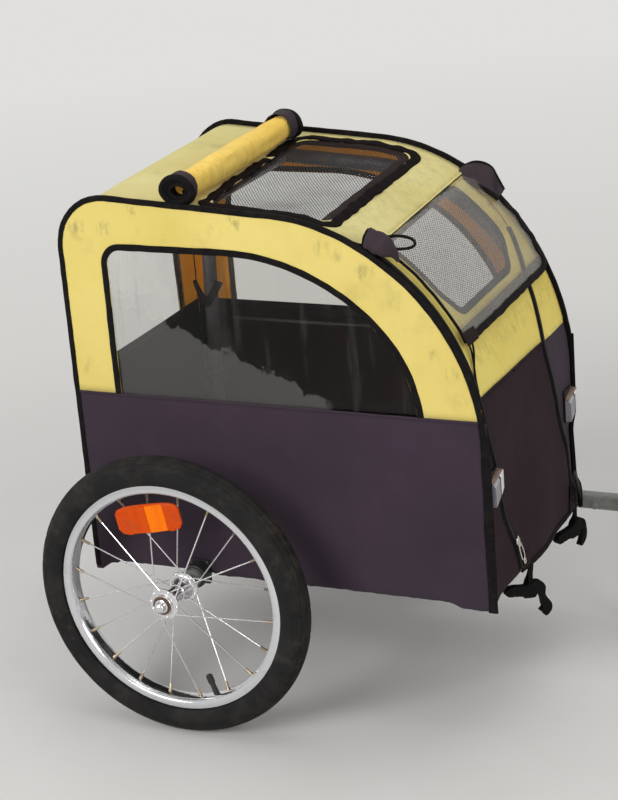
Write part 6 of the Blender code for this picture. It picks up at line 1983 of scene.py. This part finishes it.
def make_socket():
    fork_start = HINGE_U - FORK_BACK
    tube_line = [point(SOCKET_TUBE_REAR_U, ARM_V, ARM_H), point(fork_start + 0.004, ARM_V, ARM_H)]
    half_w, half_h = FORK_W / 2, FORK_TALL / 2
    slot = TONGUE_T / 2 + 0.0002
    hinge = point(HINGE_U, ARM_V, ARM_H)
    neck = [(0.0, 0.0126), (0.003, 0.0138), (FORK_BACK - SLOT_BACK + 0.001, 0.0139)]
    shapes = [pipe(tube_line, ARM_R, ARM_WALL, 40),
              turned(point(fork_start, ARM_V, ARM_H), FORWARD, neck, 32)]
    web = rounded((fork_start + 0.004, ARM_V - half_w), (HINGE_U - SLOT_BACK + 0.001, ARM_V + half_w),
                  0.0015, 3)
    low = [point(u, v, ARM_H - half_h) for u, v in web]
    shapes.append(loft([low, [spot + UPWARD * FORK_TALL for spot in low]]))
    for start, end in ((ARM_H - half_h, ARM_H - slot), (ARM_H + slot, ARM_H + half_h)):
        shapes.append(holed(hinge, boxed(SLOT_BACK + 0.002, FORK_FRONT, half_w), HINGE_HOLE_R, start, end))
    head = ((0, 0.0040), (ARM_R - 0.0004, 0.0040), (ARM_R - 0.0003, 0.0056), (ARM_R + 0.0012, 0.0056),
            (ARM_R + 0.0019, 0.0044), (ARM_R + 0.0020, 0.0024))
    shapes += [turned(point(CROSS_BOLT_U, ARM_V, ARM_H - 0.003), LEFTWARD * side, head, 6)
               for side in (-1, 1)]
    finished("socket_tube", together(shapes), [grey_paint], "chassis", ["tow_socket"])


KNOB_STATIONS = ((0.0, 0.70), (0.0004, 0.78), (0.0022, 0.84), (0.0036, 0.95), (0.0050, 0.995), (0.0100, 1.0),
                 (0.0122, 0.975), (0.0134, 0.92), (0.0139, 0.84), (0.0141, 0.60), (0.0138, 0.42),
                 (0.0138, 0.30))


def make_knob():
    centre = point(HINGE_U, ARM_V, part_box("clamp_knob")[0][2])
    rings = []
    for height, share in KNOB_STATIONS:
        ring = []
        for angle in circle(90):
            wave = KNOB_WAVE * math.cos(KNOB_LOBES * angle) * smooth((share - 0.55) / 0.4)
            ring.append(centre + Vector((math.cos(angle), math.sin(angle), 0)) * (KNOB_R * share * (1 + wave))
                        + UPWARD * height)
        rings.append(ring)
    finished("knob_moulding", loft(rings), [black_moulding], "clamp_knob", ["clamp_knob"])


def make_arm():
    start_u = HINGE_U + ARM_START
    bend_u = start_u + ARM_STRAIGHT
    level = math.pi / 2
    path = [(start_u, ARM_H), (start_u + 0.03, ARM_H)]
    path += arc((bend_u, ARM_H + ARM_BEND_R), ARM_BEND_R, -level, ARM_BEND - level, 16)
    path += arc((bend_u + ARM_BEND_RUN, HITCH_H - ARM_BEND_R), ARM_BEND_R, level + ARM_BEND, level, 16)
    path.append((ARM_TIP_U, HITCH_H))
    hinge, eye = point(HINGE_U, ARM_V, ARM_H), point(EYE_U, ARM_V, HITCH_H)
    half_w, half_t = TONGUE_W / 2, TONGUE_T / 2
    def tongue(angle):
        c, s = math.cos(angle), abs(math.sin(angle))
        return half_w if c <= 0 else min(half_w / max(s, 1e-6), (ARM_START + 0.012) / max(c, 1e-6))
    def eye_reach(angle):
        c, s = math.cos(angle), abs(math.sin(angle))
        return EYE_R if c >= 0 else min(EYE_R / max(s, 1e-6), (EYE_REACH + 0.010) / max(-c, 1e-6))
    parts = [pipe([point(u, ARM_V, h) for u, h in path], ARM_R, ARM_WALL, 40),
             holed(hinge, tongue, HINGE_HOLE_R, ARM_H - half_t, ARM_H + half_t, steps=96),
             holed(eye, eye_reach, EYE_HOLE_R, HITCH_H - EYE_T / 2, HITCH_H + EYE_T / 2, steps=96)]
    finished("arm_tube", together(parts), [grey_paint], "tow_arm", ["tow_arm"])


def make_claw():
    half_w = CLAW_W / 2
    inside_h = EYE_T / 2 + 0.0002
    outside_h = inside_h + CLAW_T
    web_u = EYE_U + CLAW_THROAT
    jaw_u = web_u + CLAW_T
    tip_u = jaw_u + JAW_LEN
    eye = point(EYE_U, ARM_V, HITCH_H)
    shapes = []
    for low, high in ((HITCH_H - outside_h, HITCH_H - inside_h), (HITCH_H + inside_h, HITCH_H + outside_h)):
        shapes.append(holed(eye, boxed(EYE_R, CLAW_THROAT + CLAW_T, half_w), EYE_HOLE_R, low, high))
    for start_u, end_u, low_v, high_v in ((web_u, jaw_u, -half_w, half_w),
                                          (jaw_u - 0.001, tip_u, -half_w, -JAW_GAP / 2),
                                          (jaw_u - 0.001, tip_u, JAW_GAP / 2, half_w)):
        shapes.append(block((start_u, ARM_V + low_v, HITCH_H - half_w),
                            (end_u, ARM_V + high_v, HITCH_H + half_w)))
    head = ((0, EYE_HOLE_R - 0.0004), (outside_h, EYE_HOLE_R - 0.0004), (outside_h + 0.0001, 0.0068),
            (outside_h + 0.0032, 0.0068), (outside_h + 0.0040, 0.0058))
    shapes += [turned(eye, UPWARD * side, head, 6) for side in (-1, 1)]
    finished("claw_forging", together(shapes), [black_paint], "hitch_claw", ["hitch_claw"], bevel=0.0012)
    low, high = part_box("hitch_pin")
    run = high[1] - low[1]
    stations = ((0, 0.0016), (0.0006, 0.0030), (0.0022, 0.00395), (run - 0.0053, 0.00395),
                (run - 0.0052, 0.0094), (run - 0.0046, 0.0100), (run - 0.0006, 0.0100), (run, 0.0092))
    pin = turned(point(jaw_u + HITCH_PIN_SET, low[1], HITCH_H), LEFTWARD, stations, 40)
    finished("pin_turning", pin, [bright_steel], "hitch_pin", ["hitch_pin"])


def make_leg():
    down = Vector((math.sin(LEG_RAKE), 0, -math.cos(LEG_RAKE)))
    pivot = point(LEG_U, ARM_V, LEG_PIVOT_H)
    reach = (LEG_PIVOT_H - FOOT_T / 2) / math.cos(LEG_RAKE)
    tube = pipe([pivot - down * LEG_TOP, pivot + down * reach], LEG_R, TUBE_WALL)
    finished("leg_tube", tube, [grey_paint], "parking_leg", ["parking_leg"])
    foot_u = LEG_U + LEG_PIVOT_H * math.tan(LEG_RAKE)
    foot = ((0, 0.0128), (0.0006, 0.0140), (0.0016, FOOT_R), (0.0040, FOOT_R), (0.0046, 0.0138),
            (0.0052, FOOT_R), (FOOT_T - 0.0030, FOOT_R - 0.0004), (FOOT_T - 0.0010, FOOT_R - 0.0016),
            (FOOT_T, FOOT_R - 0.0034), (FOOT_T + 0.0002, 0.0092))
    finished("leg_foot", turned(point(foot_u, ARM_V, 0), UPWARD, foot, 40), [tube_rubber], "parking_leg")


make_socket()
make_knob()
make_arm()
make_claw()
make_leg()


# Solids that keep their shape and have a finished material
for name, look in (("floor_board", board_look), ("tow_clamp_rear", black_paint),
                   ("tow_clamp_front", black_paint), ("hinge_bolt", bright_steel),
                   ("leg_block", black_moulding)):
    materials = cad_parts[name].data.materials
    materials.clear()
    materials.append(look)


# Stage

FLOOR_R = 14.0
# The background is painted darker near the part and paler far off: painted falloff of the studio light.
NEAR_BACKGROUND = srgb(206, 205, 202)
BACKGROUND = srgb(224, 223, 221)


def seen_directly(tree):
    """1 for rays from the camera, a mirror or a lens, and 0 for rays that light the part."""
    rays = node(tree, "LightPath").outputs
    either = maths(tree, "MAXIMUM", rays["Is Camera Ray"], rays["Is Glossy Ray"])
    return maths(tree, "MAXIMUM", either, rays["Is Transmission Ray"])


def make_stage():
    """A pale floor that fades into the pale background away from the part."""
    floor, tree, shader = start_look("floor_paint", "floor_board", roughness=0.62)
    where = place_vector(tree)
    tint = blend_colours(tree, cloudy(tree, where, 1.6, 0.35, 0.7), srgb(222, 220, 217), srgb(212, 209, 206))
    marks = cloudy(tree, mapped(tree, where, scale=(1, 3.5, 1), rotation=(0, 0, 0.7)), 16.0, 0.66, 0.80,
                   detail=9.0, rough=0.7, to_high=0.35)
    drive(tree, shader, base_color=blend_colours(tree, marks, tint, srgb(140, 132, 126)))
    away = node(tree, "VectorMath", {0: where}, operation="LENGTH").outputs["Value"]
    fade = ramp(tree, away, 0.6, 1.9, kind="SMOOTHSTEP")
    # Painted light falloff: the seen background is darker near the part.
    far = ramp(tree, away, 1.2, 4.5)
    pale = node(tree, "Emission", {"Color": blend_colours(tree, far, NEAR_BACKGROUND, BACKGROUND)})
    mix_shaders(tree, maths(tree, "MULTIPLY", fade, seen_directly(tree)), shader, pale)
    shape = bmesh.new()
    bmesh.ops.create_circle(shape, cap_ends=True, segments=96, radius=FLOOR_R)
    mesh = bpy.data.meshes.new("studio_floor")
    shape.to_mesh(mesh)
    shape.free()
    mesh.materials.append(floor)
    made = bpy.data.objects.new("studio_floor", mesh)
    scene.collection.objects.link(made)


def make_world():
    """Plain light all round, with a pale background where it is seen."""
    world = bpy.data.worlds.new("studio")
    scene.world = world
    world.use_nodes = True
    tree = world.node_tree
    light = tree.nodes["Background"]
    light.inputs["Color"].default_value = (0.9, 0.9, 0.92, 1)
    light.inputs["Strength"].default_value = 0.42
    pale = node(tree, "Background", {"Color": BACKGROUND, "Strength": 1.0})
    mix_shaders(tree, seen_directly(tree), light, pale, "World Output")


def make_lamp_light(name, place, aim, size, power):
    data = bpy.data.lights.new(name, "AREA")
    data.shape = "RECTANGLE"
    data.size, data.size_y = size
    data.energy = power
    made = bpy.data.objects.new(name, data)
    made.location = place
    made.rotation_euler = (aim - Vector(place)).to_track_quat("-Z", "Y").to_euler()
    scene.collection.objects.link(made)


make_stage()
aim = point(0.12, 0, 0.4)
make_lamp_light("key_light", Vector((-1.3, -3.2, 2.0)), aim, (1.8, 1.8), 82)
make_lamp_light("fill_light", Vector((2.6, -1.5, 1.5)), aim, (1.6, 1.6), 24)
make_lamp_light("top_light", Vector((0.1, 0.4, 3.2)), aim, (2.4, 2.4), 28)
make_world()
